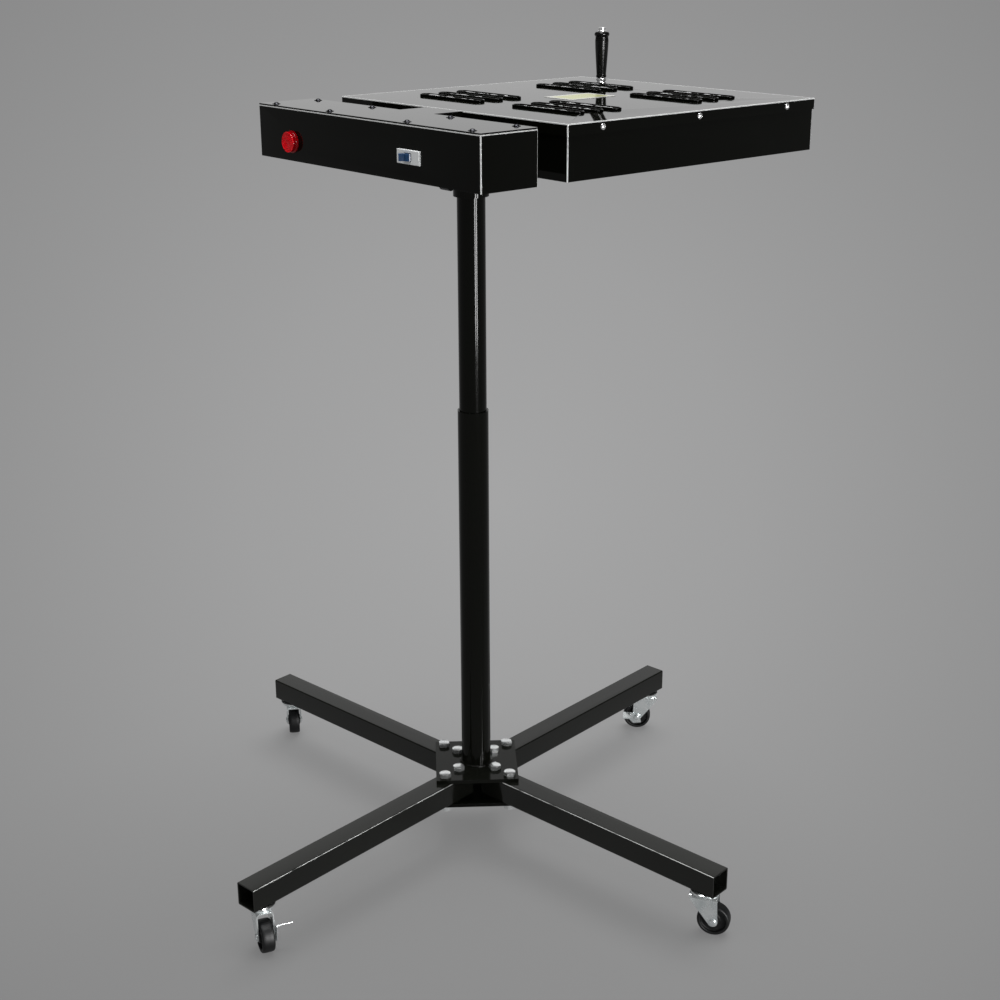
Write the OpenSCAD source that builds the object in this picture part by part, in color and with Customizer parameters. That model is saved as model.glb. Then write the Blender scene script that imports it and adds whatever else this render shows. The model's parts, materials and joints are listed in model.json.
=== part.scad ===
// Flash dryer for screen printing: an infrared heater head with its control
// box on a telescoping mast, on a bolted cross of square tube with four casters.
// Origin on the mast axis at the floor. The control panel faces -Y, +Z is up.

/* [Head] */
// Width of the control box and of the heater box
head_w = 480; // [440:5:540]
// Height of both boxes
head_h = 72; // [66:1:90]
// Depth of the control box, front to back
control_d = 92; // [84:1:120]
// Gap between the control box and the heater box
neck_gap = 49; // [40:1:70]
// Width of the neck that joins the two boxes
neck_w = 72; // [60:1:100]
// Depth of the heater box, front to back
heater_d = 480; // [460:5:540]
// Distance from the heater's front face back to the mast axis
mast_setback = 43; // [42:1:48]
// Thickness of the folded sheet of both boxes
sheet_t = 1.5; // [1:0.1:2]
// Depth of the down-turned lip round the heater's lid
lip_h = 15; // [13:1:20]

/* [Vents] */
// Length of one vent slot
vent_len = 130; // [100:1:140]
// Width of one vent slot
vent_w = 14; // [10:0.5:18]
// Spacing of the slots in a group, front to back
vent_pitch = 34; // [28:1:38]
// Number of slots in a group
vent_count = 3; // [1:1:3]
// Distance from the centre plane to the middle of a group
vent_x = 101; // [90:1:108]
// Distance from the lid's middle to the middle of a group, front to back
vent_y = 113; // [95:1:120]
// Height of the collar pressed up round a slot
vent_rim_h = 2.2; // [1:0.1:4]

/* [Radiant face] */
// Rim of the case on each side of the radiant opening
mouth_side = 38.2; // [36:0.2:60]
// Rim of the case behind the radiant opening
mouth_rear = 13; // [12.6:0.2:40]
// Diameter of a heating tube
tube_d = 12; // [9:0.5:14]
// Number of hairpin heating tubes
hairpins = 6; // [4:1:6]
// Distance from the opening's edge to the axis of the nearest run
run_edge = 23; // [18:1:40]
// Wire diameter of the guard
wire_d = 3; // [2:0.25:4]
// Number of guard wires from side to side
wires = 15; // [9:1:17]

/* [Mast] */
// Outer diameter of the lower tube
outer_d = 45; // [44:0.5:52]
// Wall of the lower tube
outer_wall = 2; // [1.5:0.1:2]
// Length of the lower tube above the base plate
outer_len = 571; // [520:1:700]
// Outer diameter of the sliding tube
inner_d = 40; // [36:0.5:40]
// Wall of the sliding tube
inner_wall = 2; // [1.5:0.1:3]
// Length of the sliding tube
inner_len = 600; // [560:5:640]
// Length of sliding tube and socket that shows below the head
inner_show = 356; // [330:1:400]

/* [Base] */
// Width of the square base plates
plate_w = 126; // [120:1:150]
// Thickness of the base plates
plate_t = 6; // [4:0.5:8]
// Side of the square leg tube
leg_s = 35; // [30:1:38]
// Wall of the leg tube
leg_wall = 2; // [1.5:0.1:3]
// Distance from the mast axis to the end of a leg
leg_reach = 463; // [420:1:520]
// Angle that the base stands round from the head, as left on the floor
base_turn = 7; // [0:1:12]

/* [Casters] */
// Diameter of a caster wheel
wheel_d = 47; // [44:1:50]
// Width of a caster wheel
wheel_w = 18; // [15:0.5:20]
// Height of a caster from the floor to its mounting face
caster_h = 70; // [70:1:78]
// Distance from a caster's swivel axis back to its wheel axis
trail = 14.5; // [13:0.5:18]

/* [Handle] */
// Length of the revolving grip
grip_len = 67; // [55:1:90]
// Diameter of the grip at its top
grip_top_d = 19; // [17:0.5:20]
// Diameter of the grip at its foot
grip_foot_d = 15; // [14:0.5:16]
// Distance from the lid's left side to the handle
handle_in = 118; // [100:1:140]

/* [Panel] */
// Distance from the panel's left end to the pilot lamp
lamp_in = 80; // [60:1:120]
// Distance from the panel's right end to the circuit breaker
breaker_in = 138.5; // [110:0.5:160]

/* [Hidden] */
$fn = 48;
eps = 0.1;           // overrun of a cut past the face it goes through
fit = 0.05;          // radial clearance of a turning or sliding fit
seat = 0.3;          // gap that a loose or moving piece keeps from its seat
play = 0.4;          // radial clearance of a screw in its hole
fold_r = 2;          // outer corner radius of folded sheet

// Heights of the main faces
leg_z = caster_h;
leg_top = leg_z + leg_s;
plate_top = leg_top + plate_t;
outer_top = plate_top + outer_len;
head_z = outer_top + inner_show;
head_top = head_z + head_h;

// Places of the boxes, front to back
heater_y0 = -mast_setback;
heater_y1 = heater_y0 + heater_d;
control_y1 = heater_y0 - neck_gap;
control_y0 = control_y1 - control_d;
heater_mid = (heater_y0 + heater_y1)/2;

// Control box
cover_t = 2;
flange_in = 14;       // inward flange that takes the cover screws
cover_screw_x_shares = [-0.883, -0.35, 0.35, 0.883];
cover_screw_in = 11;  // from the cover's edge to a screw
cover_screw_d = 4;
cover_head_d = 8;
cover_head_h = 2.6;
chassis_top = head_top - cover_t;
window_w = 44;        // wiring window through the neck
window_h = 34;

// Heater box
lid_fit = 0.3;        // between the lid's lip and the case
case_in = sheet_t + lid_fit;
case_top = head_top - sheet_t;
guard_rim = 10;       // width of the guard's frame
guard_gap = 2.2;      // between the socket's flange and the guard's frame
mouth_w = head_w - 2*(case_in + mouth_side);
mouth_y1 = heater_y1 - case_in - mouth_rear;
lid_screw_end = 61;   // from the end of a side to its outer screws
lid_screw_d = 4;
lid_head_d = 8.4;
lid_head_h = 2.4;
lid_screw_z = head_top - lip_h/2;

// Guard, reflector, insulation and heating tubes, from the mouth up
guard_t = 3;
guard_z = head_z + sheet_t;
wire_sink_share = 0.4; // height of a welded wire's axis over the frame, as a share of its diameter
cross_wires = 5;
tray_in = 2;          // the tray stands this far inside the frame's edge
tray_t = 1;
tray_z = guard_z + guard_t;
tray_h = 34;
run_rise = 21;        // from the tray's rim to the axes of the heating tubes
tray_top = tray_z + tray_h;
blanket_t = 18;
blanket_over = 3;
run_z = tray_z + run_rise;
run_short = 34;
run_len = mouth_w - run_short;
run_mid_x = 2;
cap_len = 14;
cap_wall = 2.2;
rail_t = 1.6;
rail_x_share = 0.32;

// Socket, its flange and bolts
socket_wall = 5;
socket_d = inner_d + 2*(fit + socket_wall);
socket_len = 43;
flange_w = 96;
flange_front = 34;    // flange in front of and behind the mast axis
flange_t = 5;
flange_bolt_x = 76;
flange_bolt_y = 46;
flange_bolt_d = 8;
flange_bolt_af = 13;
flange_bolt_head = 5.3;
flange_nut = 6.5;
flange_z = head_z - flange_t;
socket_z = flange_z - socket_len;
inner_top = flange_z - seat;
mouth_y0 = flange_front + guard_rim + guard_gap;
mouth_d = mouth_y1 - mouth_y0;
mouth_mid = (mouth_y0 + mouth_y1)/2;
run_pitch = (mouth_d - 2*run_edge)/(2*hairpins - 1);

// Clamp screws of the mast and of the socket
clamp_d = 10;
boss_d = 22;
boss_len = 9;
clamp_drop = 50;      // below the lower tube's rim
knob_d = 40;
knob_t = 20;
knob_lobes = 5;
knob_lobe_d = 13;
knob_waist_share = 0.8;
knob_gap = 4;         // shank that shows between boss and knob
clamp_azimuth = 135;
head_clamp_azimuth = 180;
head_clamp_z = socket_z + socket_len/2;

// Guide bush in the lower tube
bush_len = 30;
outer_bore = outer_d - 2*outer_wall;

// Base fasteners
bolt_d = 10;
bolt_af = 16;
bolt_head_h = 6.4;
nut_h = 8;
washer_d = 20;
washer_t = 2;
bolt_r_inner = 40;
bolt_r_outer = 70;
leg_inner = 26;       // from the mast axis to the near end of a leg
weld_s = 3;

// Casters: where each stands and which way its wheel trails
stem_in = 25;         // from the leg's end to the swivel axis
stem_r = leg_reach - stem_in;
leg_names = ["front", "right", "rear", "left"];
leg_angles = [270, 0, 90, 180];
headings = [-18, 32, -137, 148];
braked = [true, false, true, false];
lever_lifts = [36, 0, 0, 0];  // the front brake is off and the rear one is on
stem_d = 10;
stem_len = 15;
stem_nut_af = 17;
stem_nut_h = 8;
race_d = 41;          // upper raceway, under the leg
race_h = 5;
lower_race_d = 36;    // lower raceway, pressed up from the fork's crown
lower_race_h = 2.4;
crown_len = 40;
crown_t = 2.4;
crown_top = caster_h - race_h - seat - lower_race_h;
crown_z = crown_top - crown_t;
shoulder_r = 6;       // outer radius where the crown folds down into the legs
rivet_d = 15;
rivet_h = 2.5;
fork_t = 2;
fork_gap = 1.5;       // between the wheel's side and a fork leg
fork_boss_d = 14;
axle_d = 6;
axle_head_d = 10;
axle_head_h = 2;
hub_d = 18;
hub_w = wheel_w + 2*(fork_gap - seat);
tread_crown = 1.5;
web_w_share = 0.55;
rim_share = 0.78;
fork_out = wheel_w/2 + fork_gap + fork_t;

// Brake lever beside the fork
lever_t = 1.6;
lever_gap = 0.4;
lever_y = fork_out + lever_gap;
pad_len = 24;
pad_w = 13;

// Handle on the lid
handle_behind = 22;   // from the last slot to the handle
handle_x = handle_in - head_w/2;
handle_y = heater_mid + vent_y + (vent_count - 1)/2*vent_pitch + handle_behind;
post_nut_af = 13;
post_nut_h = 6.5;
ferrule_d = 15;
ferrule_h = 5;
post_d = 8;
collar_d = 23;
collar_h = 6;
post_head_d = 11;
post_head_h = 6;
grip_z = head_top + ferrule_h + seat;
post_top = grip_z + grip_len + collar_h + seat;

// Pilot lamp in the control panel
lamp_x = lamp_in - head_w/2;
lamp_drop = 46;       // below the head's top
lamp_z = head_top - lamp_drop;
lamp_hole_d = 22;
lamp_flange_d = 30;
lamp_flange_t = 2.5;
lens_d = 26;
lens_len = 4;
lens_tip_d = 20;
lens_tip_t = 2;
lamp_body_len = 34;
lamp_nut_t = 4;

// Circuit breaker lying on its side behind the panel
breaker_x = head_w/2 - breaker_in;
breaker_drop = 41;
breaker_z = head_top - breaker_drop;
nose_w = 45;
module_w = 18;
breaker_w = 80;
nose_out = 3;
breaker_depth = 68;
shoulder = 3;         // gap from the panel to the breaker's shoulders
toggle_w = 9;
toggle_root_d = 13;
toggle_out = 11;
toggle_lean = 38;
rail_w = 35;
rail_lip = 4;
din_t = 1;
din_depth = 7.5;
din_len = 56;
din_post_d = 8;

// Terminal block and cord gland
terminal_w = 60;
terminal_d = 22;
terminal_h = 20;
terminal_x = -40;
terminal_poles = 4;
gland_drop = 40;
gland_z = head_top - gland_drop;
gland_y = (control_y0 + control_y1)/2;
gland_d = 20;
gland_bore = 10.5;
gland_af = 24;
gland_out = 22;
gland_hex_t = 6;
gland_in = 12;
gland_nut_t = 5;

// General shapes

// Rounded rectangle in the plane, centred
module rounded(w, d, r) {
    square([w - 2*r, d], center = true);
    square([w, d - 2*r], center = true);
    for (sx = [-1, 1], sy = [-1, 1])
        translate([sx*(w/2 - r), sy*(d/2 - r)]) circle(r = r);
}

// Slot with round ends along X, centred
module slot(len, w) {
    square([len - w, w], center = true);
    for (s = [-1, 1])
        translate([s*(len - w)/2, 0]) circle(d = w);
}

// Hexagonal prism measured across its flats
module hex(af, h) {
    cylinder(d = af/cos(30), h = h, $fn = 6);
}

// Ring standing on z = 0
module ring(od, id, h) {
    difference() {
        cylinder(d = od, h = h);
        translate([0, 0, -eps]) cylinder(d = id, h = h + 2*eps);
    }
}

// Panhead screw whose head stands up from z = 0 and whose shank goes down
module pan_screw(shank_d, shank_len, head_d, head_h) {
    rotate_extrude()
        polygon([[0, -shank_len], [shank_d/2, -shank_len], [shank_d/2, 0], [head_d/2, 0],
            [head_d/2, head_h*0.45], [head_d*0.36, head_h*0.9], [head_d*0.2, head_h], [0, head_h]]);
}

// Base: two square plates with the legs bolted between them
module at_leg(i) {
    rotate([0, 0, leg_angles[i] + base_turn]) children();
}

module each_leg_bolt() {
    for (i = [0 : len(leg_angles) - 1], r = [bolt_r_inner, bolt_r_outer])
        at_leg(i) translate([r, 0, 0]) children();
}

module base_plate(z) {
    difference() {
        translate([0, 0, z]) rotate([0, 0, 45 + base_turn])
            linear_extrude(plate_t) rounded(plate_w, plate_w, fold_r);
        each_leg_bolt() translate([0, 0, z - eps]) cylinder(d = bolt_d + play, h = plate_t + 2*eps);
    }
}

module base_plate_top() {
    color("#1b1b1c") base_plate(leg_top);
}

module base_plate_bottom() {
    color("#1b1b1c") base_plate(leg_z - plate_t);
}

module leg(i) {
    at_leg(i) difference() {
        translate([leg_inner, 0, leg_z + leg_s/2]) rotate([90, 0, 90])
            linear_extrude(leg_reach - leg_inner) difference() {
                rounded(leg_s, leg_s, fold_r);
                rounded(leg_s - 2*leg_wall, leg_s - 2*leg_wall, fold_r/2);
            }
        for (r = [bolt_r_inner, bolt_r_outer])
            translate([r, 0, leg_z - eps]) cylinder(d = bolt_d + play, h = leg_s + 2*eps);
        translate([stem_r, 0, leg_z - eps]) cylinder(d = stem_d + play, h = leg_wall + 2*eps);
    }
}

module leg_front() {
    color("#1d1d1e") leg(0);
}

module leg_right() {
    color("#1d1d1e") leg(1);
}

module leg_rear() {
    color("#1d1d1e") leg(2);
}

module leg_left() {
    color("#1d1d1e") leg(3);
}

module leg_bolts() {
    shank = 2*plate_t + leg_s + washer_t + nut_h;
    color("#c9ccce") each_leg_bolt() {
        translate([0, 0, plate_top]) hex(bolt_af, bolt_head_h);
        translate([0, 0, plate_top - shank]) cylinder(d = bolt_d, h = shank + eps);
    }
}

module leg_nuts() {
    color("#c9ccce") each_leg_bolt() translate([0, 0, leg_z - plate_t - washer_t - nut_h])
        difference() {
            union() {
                hex(bolt_af, nut_h);
                translate([0, 0, nut_h]) cylinder(d = washer_d, h = washer_t);
            }
            translate([0, 0, -eps]) cylinder(d = bolt_d + 2*fit, h = nut_h + washer_t + 2*eps);
        }
}

// Mast: lower tube, guide bush, sliding tube

// Boss for a clamp screw, along +X from the wall of a tube, with its bore cut later
module clamp_boss(tube_r) {
    rotate([0, 90, 0]) cylinder(d = boss_d, h = tube_r + boss_len);
}

module clamp_bore(tube_r) {
    rotate([0, 90, 0]) cylinder(d = clamp_d + 2*fit, h = tube_r + boss_len + eps);
}

// Clamp screw with its lobed knob; its tip stays just clear of the sliding tube
module clamp_knob(tube_r) {
    tip = inner_d/2 + seat;
    back = tube_r + boss_len + knob_gap;
    rotate([0, 90, 0]) {
        translate([0, 0, tip]) cylinder(d = clamp_d, h = back - tip + eps);
        translate([0, 0, back]) linear_extrude(knob_t) {
            circle(d = knob_d - knob_lobe_d*knob_waist_share);
            for (k = [0 : knob_lobes - 1])
                rotate((k + 0.25)*360/knob_lobes) translate([(knob_d - knob_lobe_d)/2, 0])
                    circle(d = knob_lobe_d);
        }
    }
}

module outer_tube() {
    color("#1a1a1b") difference() {
        union() {
            translate([0, 0, plate_top]) cylinder(d = outer_d, h = outer_len);
            translate([0, 0, plate_top]) rotate_extrude()
                polygon([[0, 0], [outer_d/2 + weld_s, 0], [outer_d/2, weld_s], [0, weld_s]]);
            rotate([0, 0, clamp_azimuth + base_turn]) translate([0, 0, outer_top - clamp_drop])
                clamp_boss(outer_d/2);
        }
        translate([0, 0, plate_top - eps]) cylinder(d = outer_bore, h = outer_len + 2*eps);
        rotate([0, 0, clamp_azimuth + base_turn]) translate([0, 0, outer_top - clamp_drop])
            clamp_bore(outer_d/2);
    }
}

module guide_bush() {
    color("#2a2a2c") translate([0, 0, outer_top - bush_len])
        ring(outer_bore - 2*fit, inner_d + 2*fit, bush_len);
}

module mast_lock() {
    color("#202022") rotate([0, 0, clamp_azimuth + base_turn])
        translate([0, 0, outer_top - clamp_drop]) clamp_knob(outer_d/2);
}

module inner_tube() {
    color("#161617") translate([0, 0, inner_top - inner_len])
        ring(inner_d, inner_d - 2*inner_wall, inner_len);
}

// Socket under the heater, which turns on the sliding tube
module flange_holes() {
    for (sx = [-1, 1], sy = [-1, 1])
        translate([sx*flange_bolt_x/2, sy*flange_bolt_y/2, 0]) children();
}

module swivel_socket() {
    color("#1a1a1b") difference() {
        union() {
            translate([0, 0, socket_z]) cylinder(d = socket_d, h = socket_len + eps);
            translate([0, 0, flange_z]) linear_extrude(flange_t)
                rounded(flange_w, 2*flange_front, 4*fold_r);
            translate([0, 0, head_clamp_z]) rotate([0, 0, head_clamp_azimuth]) clamp_boss(socket_d/2);
        }
        translate([0, 0, socket_z - eps]) cylinder(d = inner_d + 2*fit, h = socket_len + eps);
        translate([0, 0, head_clamp_z]) rotate([0, 0, head_clamp_azimuth]) clamp_bore(socket_d/2);
        flange_holes() translate([0, 0, flange_z - eps])
            cylinder(d = flange_bolt_d + play, h = flange_t + 2*eps);
    }
}

module socket_bolts() {
    grip = flange_t + sheet_t;
    color("#c9ccce") flange_holes() {
        translate([0, 0, flange_z - flange_bolt_head]) hex(flange_bolt_af, flange_bolt_head);
        translate([0, 0, flange_z - eps]) cylinder(d = flange_bolt_d, h = grip + 2*eps);
        translate([0, 0, flange_z + grip]) hex(flange_bolt_af, flange_nut);
    }
}

module head_lock() {
    color("#202022") translate([0, 0, head_clamp_z]) rotate([0, 0, head_clamp_azimuth]) clamp_knob(socket_d/2);
}

// Control box
module each_cover_screw() {
    for (k = cover_screw_x_shares, y = [control_y0 + cover_screw_in, control_y1 - cover_screw_in])
        translate([k*head_w/2, y, 0]) children();
}

module control_chassis() {
    mid = (control_y0 + control_y1)/2;
    inner_w = head_w - 2*sheet_t;
    inner_d2 = control_d - 2*sheet_t;
    color("#101011") difference() {
        translate([0, mid, head_z]) linear_extrude(head_h - cover_t)
            rounded(head_w, control_d, fold_r);
        translate([0, mid, head_z + sheet_t]) linear_extrude(head_h - cover_t - 2*sheet_t)
            rounded(inner_w, inner_d2, fold_r/2);
        translate([0, mid, chassis_top - 2*sheet_t]) linear_extrude(cover_t + 2*sheet_t)
            square([inner_w - 2*flange_in, inner_d2 - 2*flange_in], center = true);
        each_cover_screw() translate([0, 0, chassis_top - 2*sheet_t])
            cylinder(d = cover_screw_d + play, h = 3*sheet_t);
        translate([lamp_x, control_y0 - eps, lamp_z]) rotate([-90, 0, 0])
            cylinder(d = lamp_hole_d + play, h = sheet_t + 2*eps);
        translate([breaker_x - nose_w/2 - play, control_y0 - eps, breaker_z - module_w/2 - play])
            cube([nose_w + 2*play, sheet_t + 2*eps, module_w + 2*play]);
        translate([-head_w/2 - eps, gland_y, gland_z]) rotate([0, 90, 0])
            cylinder(d = gland_d + play, h = sheet_t + 2*eps);
        translate([-window_w/2, control_y1 - sheet_t - eps, head_z + (head_h - window_h)/2])
            cube([window_w, sheet_t + 2*eps, window_h]);
    }
}

module control_cover() {
    mid = (control_y0 + control_y1)/2;
    color("#141415") difference() {
        translate([0, 0, chassis_top]) linear_extrude(cover_t) {
            translate([0, mid]) rounded(head_w, control_d, fold_r);
            translate([-neck_w/2, control_y1 - fold_r])
                square([neck_w, neck_gap + fold_r - lid_fit]);
        }
        each_cover_screw() translate([0, 0, chassis_top - eps])
            cylinder(d = cover_screw_d + play, h = cover_t + 2*eps);
    }
}

module cover_screws() {
    color("#232325") each_cover_screw() translate([0, 0, head_top])
        pan_screw(cover_screw_d, cover_t + sheet_t + cover_head_h, cover_head_d, cover_head_h);
}

module neck_duct() {
    len = neck_gap + case_in;
    color("#101011") translate([0, control_y1 + len/2, head_z]) rotate([90, 0, 0])
        translate([0, 0, -len/2]) linear_extrude(len) difference() {
            translate([-neck_w/2, 0]) square([neck_w, head_h - cover_t]);
            translate([-neck_w/2 + sheet_t, sheet_t]) square([neck_w - 2*sheet_t, head_h]);
        }
}

// Heater box
module each_side_screw() {
    for (sx = [-1, 1], k = [-1, 0, 1])
        translate([sx*head_w/2, heater_mid + k*(heater_d/2 - lid_screw_end), lid_screw_z])
            rotate([0, sx*90, 0]) children();
    for (k = [-1, 0, 1])
        translate([k*(head_w/2 - lid_screw_end), heater_y1, lid_screw_z])
            rotate([-90, 0, 0]) children();
}

module heater_case() {
    w = head_w - 2*case_in;
    d = heater_d - 2*case_in;
    color("#101011") difference() {
        translate([0, heater_mid, head_z]) linear_extrude(case_top - head_z)
            rounded(w, d, fold_r);
        translate([0, heater_mid, head_z + sheet_t]) linear_extrude(head_h)
            rounded(w - 2*sheet_t, d - 2*sheet_t, fold_r/2);
        translate([0, mouth_mid, head_z - eps]) linear_extrude(sheet_t + 2*eps)
            square([mouth_w, mouth_d], center = true);
        flange_holes() translate([0, 0, head_z - eps])
            cylinder(d = flange_bolt_d + play, h = sheet_t + 2*eps);
        translate([-window_w/2, heater_y0 + case_in - eps, head_z + (head_h - window_h)/2])
            cube([window_w, sheet_t + 2*eps, window_h]);
        each_side_screw() translate([0, 0, -case_in - sheet_t - eps])
            cylinder(d = lid_screw_d + play, h = case_in + sheet_t + 2*eps);
    }
}

module vents() {
    for (sx = [-1, 1], sy = [-1, 1], k = [0 : vent_count - 1])
        translate([sx*vent_x, heater_mid + sy*vent_y + (k - (vent_count - 1)/2)*vent_pitch])
            children();
}

module heater_lid() {
    color("#141415") difference() {
        union() {
            translate([0, heater_mid, head_top - lip_h]) linear_extrude(lip_h)
                rounded(head_w, heater_d, fold_r);
            translate([0, 0, head_top - sheet_t]) linear_extrude(sheet_t + vent_rim_h)
                vents() slot(vent_len + 2*sheet_t, vent_w + 2*sheet_t);
        }
        translate([0, heater_mid, head_top - lip_h - eps]) linear_extrude(lip_h + eps - sheet_t)
            rounded(head_w - 2*sheet_t, heater_d - 2*sheet_t, fold_r/2);
        translate([-neck_w/2 - lid_fit, heater_y0 - eps, head_top - lip_h - eps])
            cube([neck_w + 2*lid_fit, case_in + eps, lip_h + eps - sheet_t]);
        translate([0, 0, head_top - sheet_t - eps]) linear_extrude(sheet_t + vent_rim_h + 2*eps)
            vents() slot(vent_len, vent_w);
        each_side_screw() translate([0, 0, -case_in])
            cylinder(d = lid_screw_d + play, h = case_in + eps);
        translate([handle_x, handle_y, head_top - sheet_t - eps])
            cylinder(d = post_d + play, h = sheet_t + 2*eps);
    }
}

module lid_screws() {
    color("#d2d4d6") each_side_screw()
        pan_screw(lid_screw_d, case_in + sheet_t + lid_head_h, lid_head_d, lid_head_h);
}

// Radiant face: guard, reflector tray, insulation and the bank of heating tubes
frame_w = mouth_w + 2*guard_rim;
frame_d = mouth_d + 2*guard_rim;
tray_w = frame_w - 2*tray_in;
tray_d = frame_d - 2*tray_in;

module wire_guard() {
    reach_x = mouth_w + guard_rim;
    reach_y = mouth_d + guard_rim;
    color("#a9acae") translate([0, mouth_mid, guard_z]) {
        linear_extrude(guard_t) difference() {
            rounded(frame_w, frame_d, fold_r);
            square([mouth_w, mouth_d], center = true);
        }
        for (k = [0 : wires - 1])
            translate([-reach_x/2, (k - (wires - 1)/2)*mouth_d/wires, guard_t + wire_d*wire_sink_share])
                rotate([0, 90, 0]) cylinder(d = wire_d, h = reach_x, $fn = 24);
        for (k = [0 : cross_wires - 1])
            translate([(k - (cross_wires - 1)/2)*mouth_w/cross_wires, -reach_y/2, guard_t + wire_d])
                rotate([-90, 0, 0]) cylinder(d = wire_d, h = reach_y, $fn = 24);
    }
}

module reflector_tray() {
    color("#d9dbdd") translate([0, mouth_mid, tray_z]) difference() {
        linear_extrude(tray_h) rounded(tray_w, tray_d, fold_r);
        translate([0, 0, -eps]) linear_extrude(tray_h - tray_t + eps)
            rounded(tray_w - 2*tray_t, tray_d - 2*tray_t, fold_r/2);
    }
}

module insulation_blanket() {
    color("#c8cacc") translate([0, mouth_mid, tray_top]) linear_extrude(blanket_t)
        rounded(tray_w + 2*blanket_over, tray_d + 2*blanket_over, 3*fold_r);
}

function run_y(k) = mouth_mid + (k - (2*hairpins - 1)/2)*run_pitch;

module heating_tubes() {
    x0 = run_mid_x - run_len/2;
    x1 = run_mid_x + run_len/2 - run_pitch/2;
    color("#b8b2a8") for (h = [0 : hairpins - 1]) {
        for (k = [2*h, 2*h + 1])
            translate([x0, run_y(k), run_z]) rotate([0, 90, 0]) cylinder(d = tube_d, h = x1 - x0);
        translate([x1, (run_y(2*h) + run_y(2*h + 1))/2, run_z]) rotate([0, 0, -90])
            rotate_extrude(angle = 180) translate([run_pitch/2, 0]) circle(d = tube_d);
    }
}

module tube_caps() {
    x0 = run_mid_x - run_len/2;
    color("#e9e4d8") for (k = [0 : 2*hairpins - 1])
        translate([x0 - cap_len/2, run_y(k), run_z]) rotate([0, 90, 0]) difference() {
            cylinder(d = tube_d + 2*cap_wall, h = cap_len);
            translate([0, 0, cap_len/2]) cylinder(d = tube_d + 2*fit, h = cap_len);
        }
}

module tube_rails() {
    rise = 2*wire_d;
    color("#8d9092") for (s = [-1, 1]) difference() {
        translate([s*rail_x_share*mouth_w - rail_t/2, mouth_mid - tray_d/2 + tray_t, tray_z + rise])
            cube([rail_t, tray_d - 2*tray_t, tray_h - tray_t - rise]);
        for (k = [0 : 2*hairpins - 1])
            translate([s*rail_x_share*mouth_w - rail_t, run_y(k), run_z]) rotate([0, 90, 0])
                cylinder(d = tube_d + 2*fit, h = 2*rail_t);
    }
}

// Controls in the panel
module pilot_lens() {
    color("#d01218") translate([lamp_x, control_y0, lamp_z]) rotate([90, 0, 0]) {
        cylinder(d = lamp_flange_d, h = lamp_flange_t);
        translate([0, 0, lamp_flange_t]) cylinder(d = lens_d, h = lens_len, $fn = 12);
        translate([0, 0, lamp_flange_t + lens_len]) cylinder(d1 = lens_d, d2 = lens_tip_d, h = lens_tip_t);
    }
}

module pilot_body() {
    color("#2b2b2d") translate([lamp_x, control_y0, lamp_z]) rotate([-90, 0, 0])
        cylinder(d = lamp_hole_d, h = lamp_body_len);
}

module pilot_nut() {
    color("#2b2b2d") translate([lamp_x, control_y0 + sheet_t, lamp_z]) rotate([-90, 0, 0])
        ring(lamp_flange_d, lamp_hole_d + 2*fit, lamp_nut_t);
}

module breaker_body() {
    y0 = control_y0 - nose_out;
    back = breaker_depth - nose_out - sheet_t - shoulder;
    color("#e8e9ea") difference() {
        union() {
            translate([breaker_x - nose_w/2, y0, breaker_z - module_w/2])
                cube([nose_w, breaker_depth, module_w]);
            translate([breaker_x - breaker_w/2, control_y0 + sheet_t + shoulder, breaker_z - module_w/2])
                cube([breaker_w, back, module_w]);
        }
        translate([breaker_x, y0 + toggle_root_d*0.1, breaker_z - toggle_w/2 - seat])
            cylinder(d = toggle_root_d + 2*seat, h = toggle_w + 2*seat);
    }
}

module breaker_toggle() {
    y0 = control_y0 - nose_out + toggle_root_d*0.1;
    color("#1f5fa8") translate([breaker_x, y0, breaker_z - toggle_w/2]) {
        cylinder(d = toggle_root_d, h = toggle_w);
        rotate([0, 0, -toggle_lean]) translate([-toggle_root_d*0.28, -toggle_root_d/2 - toggle_out*0.55, 0])
            cube([toggle_root_d*0.56, toggle_out, toggle_w]);
    }
}

module din_rail() {
    y0 = control_y0 - nose_out + breaker_depth;
    posts = control_y1 - sheet_t - y0 - din_depth;
    color("#b9bcbe") {
        translate([breaker_x, y0 + din_depth, breaker_z - din_len/2]) linear_extrude(din_len) {
            for (s = [-1, 1])
                translate([s*(rail_w/2 - rail_lip/2) - rail_lip/2, -din_depth]) square([rail_lip, din_t]);
            for (s = [-1, 1])
                translate([s*(rail_w/2 - rail_lip) - din_t/2, -din_depth]) square([din_t, din_depth]);
            translate([-rail_w/2 + rail_lip, -din_t]) square([rail_w - 2*rail_lip, din_t]);
        }
        for (s = [-1, 1])
            translate([breaker_x, y0 + din_depth, breaker_z + s*din_len/4]) rotate([-90, 0, 0])
                cylinder(d = din_post_d, h = posts);
    }
}

module terminal_block() {
    color("#ece7d6") translate([terminal_x, (control_y0 + control_y1)/2, head_z + sheet_t]) difference() {
        translate([-terminal_w/2, -terminal_d/2, 0]) cube([terminal_w, terminal_d, terminal_h]);
        for (k = [0 : terminal_poles - 1])
            translate([(k - (terminal_poles - 1)/2)*terminal_w/terminal_poles, 0, terminal_h/2])
                cylinder(d = terminal_w/terminal_poles/2, h = terminal_h);
    }
}

module cord_gland() {
    len = gland_out + sheet_t + gland_in;
    color("#2b2b2d") translate([-head_w/2, gland_y, gland_z]) rotate([0, -90, 0]) difference() {
        union() {
            translate([0, 0, -sheet_t - gland_in]) cylinder(d = gland_d, h = gland_in + sheet_t + eps);
            hex(gland_af, gland_hex_t);
            translate([0, 0, gland_hex_t]) cylinder(d1 = gland_af, d2 = gland_d, h = gland_out - gland_hex_t);
        }
        translate([0, 0, -sheet_t - gland_in - eps]) cylinder(d = gland_bore, h = len + 2*eps);
    }
}

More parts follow.
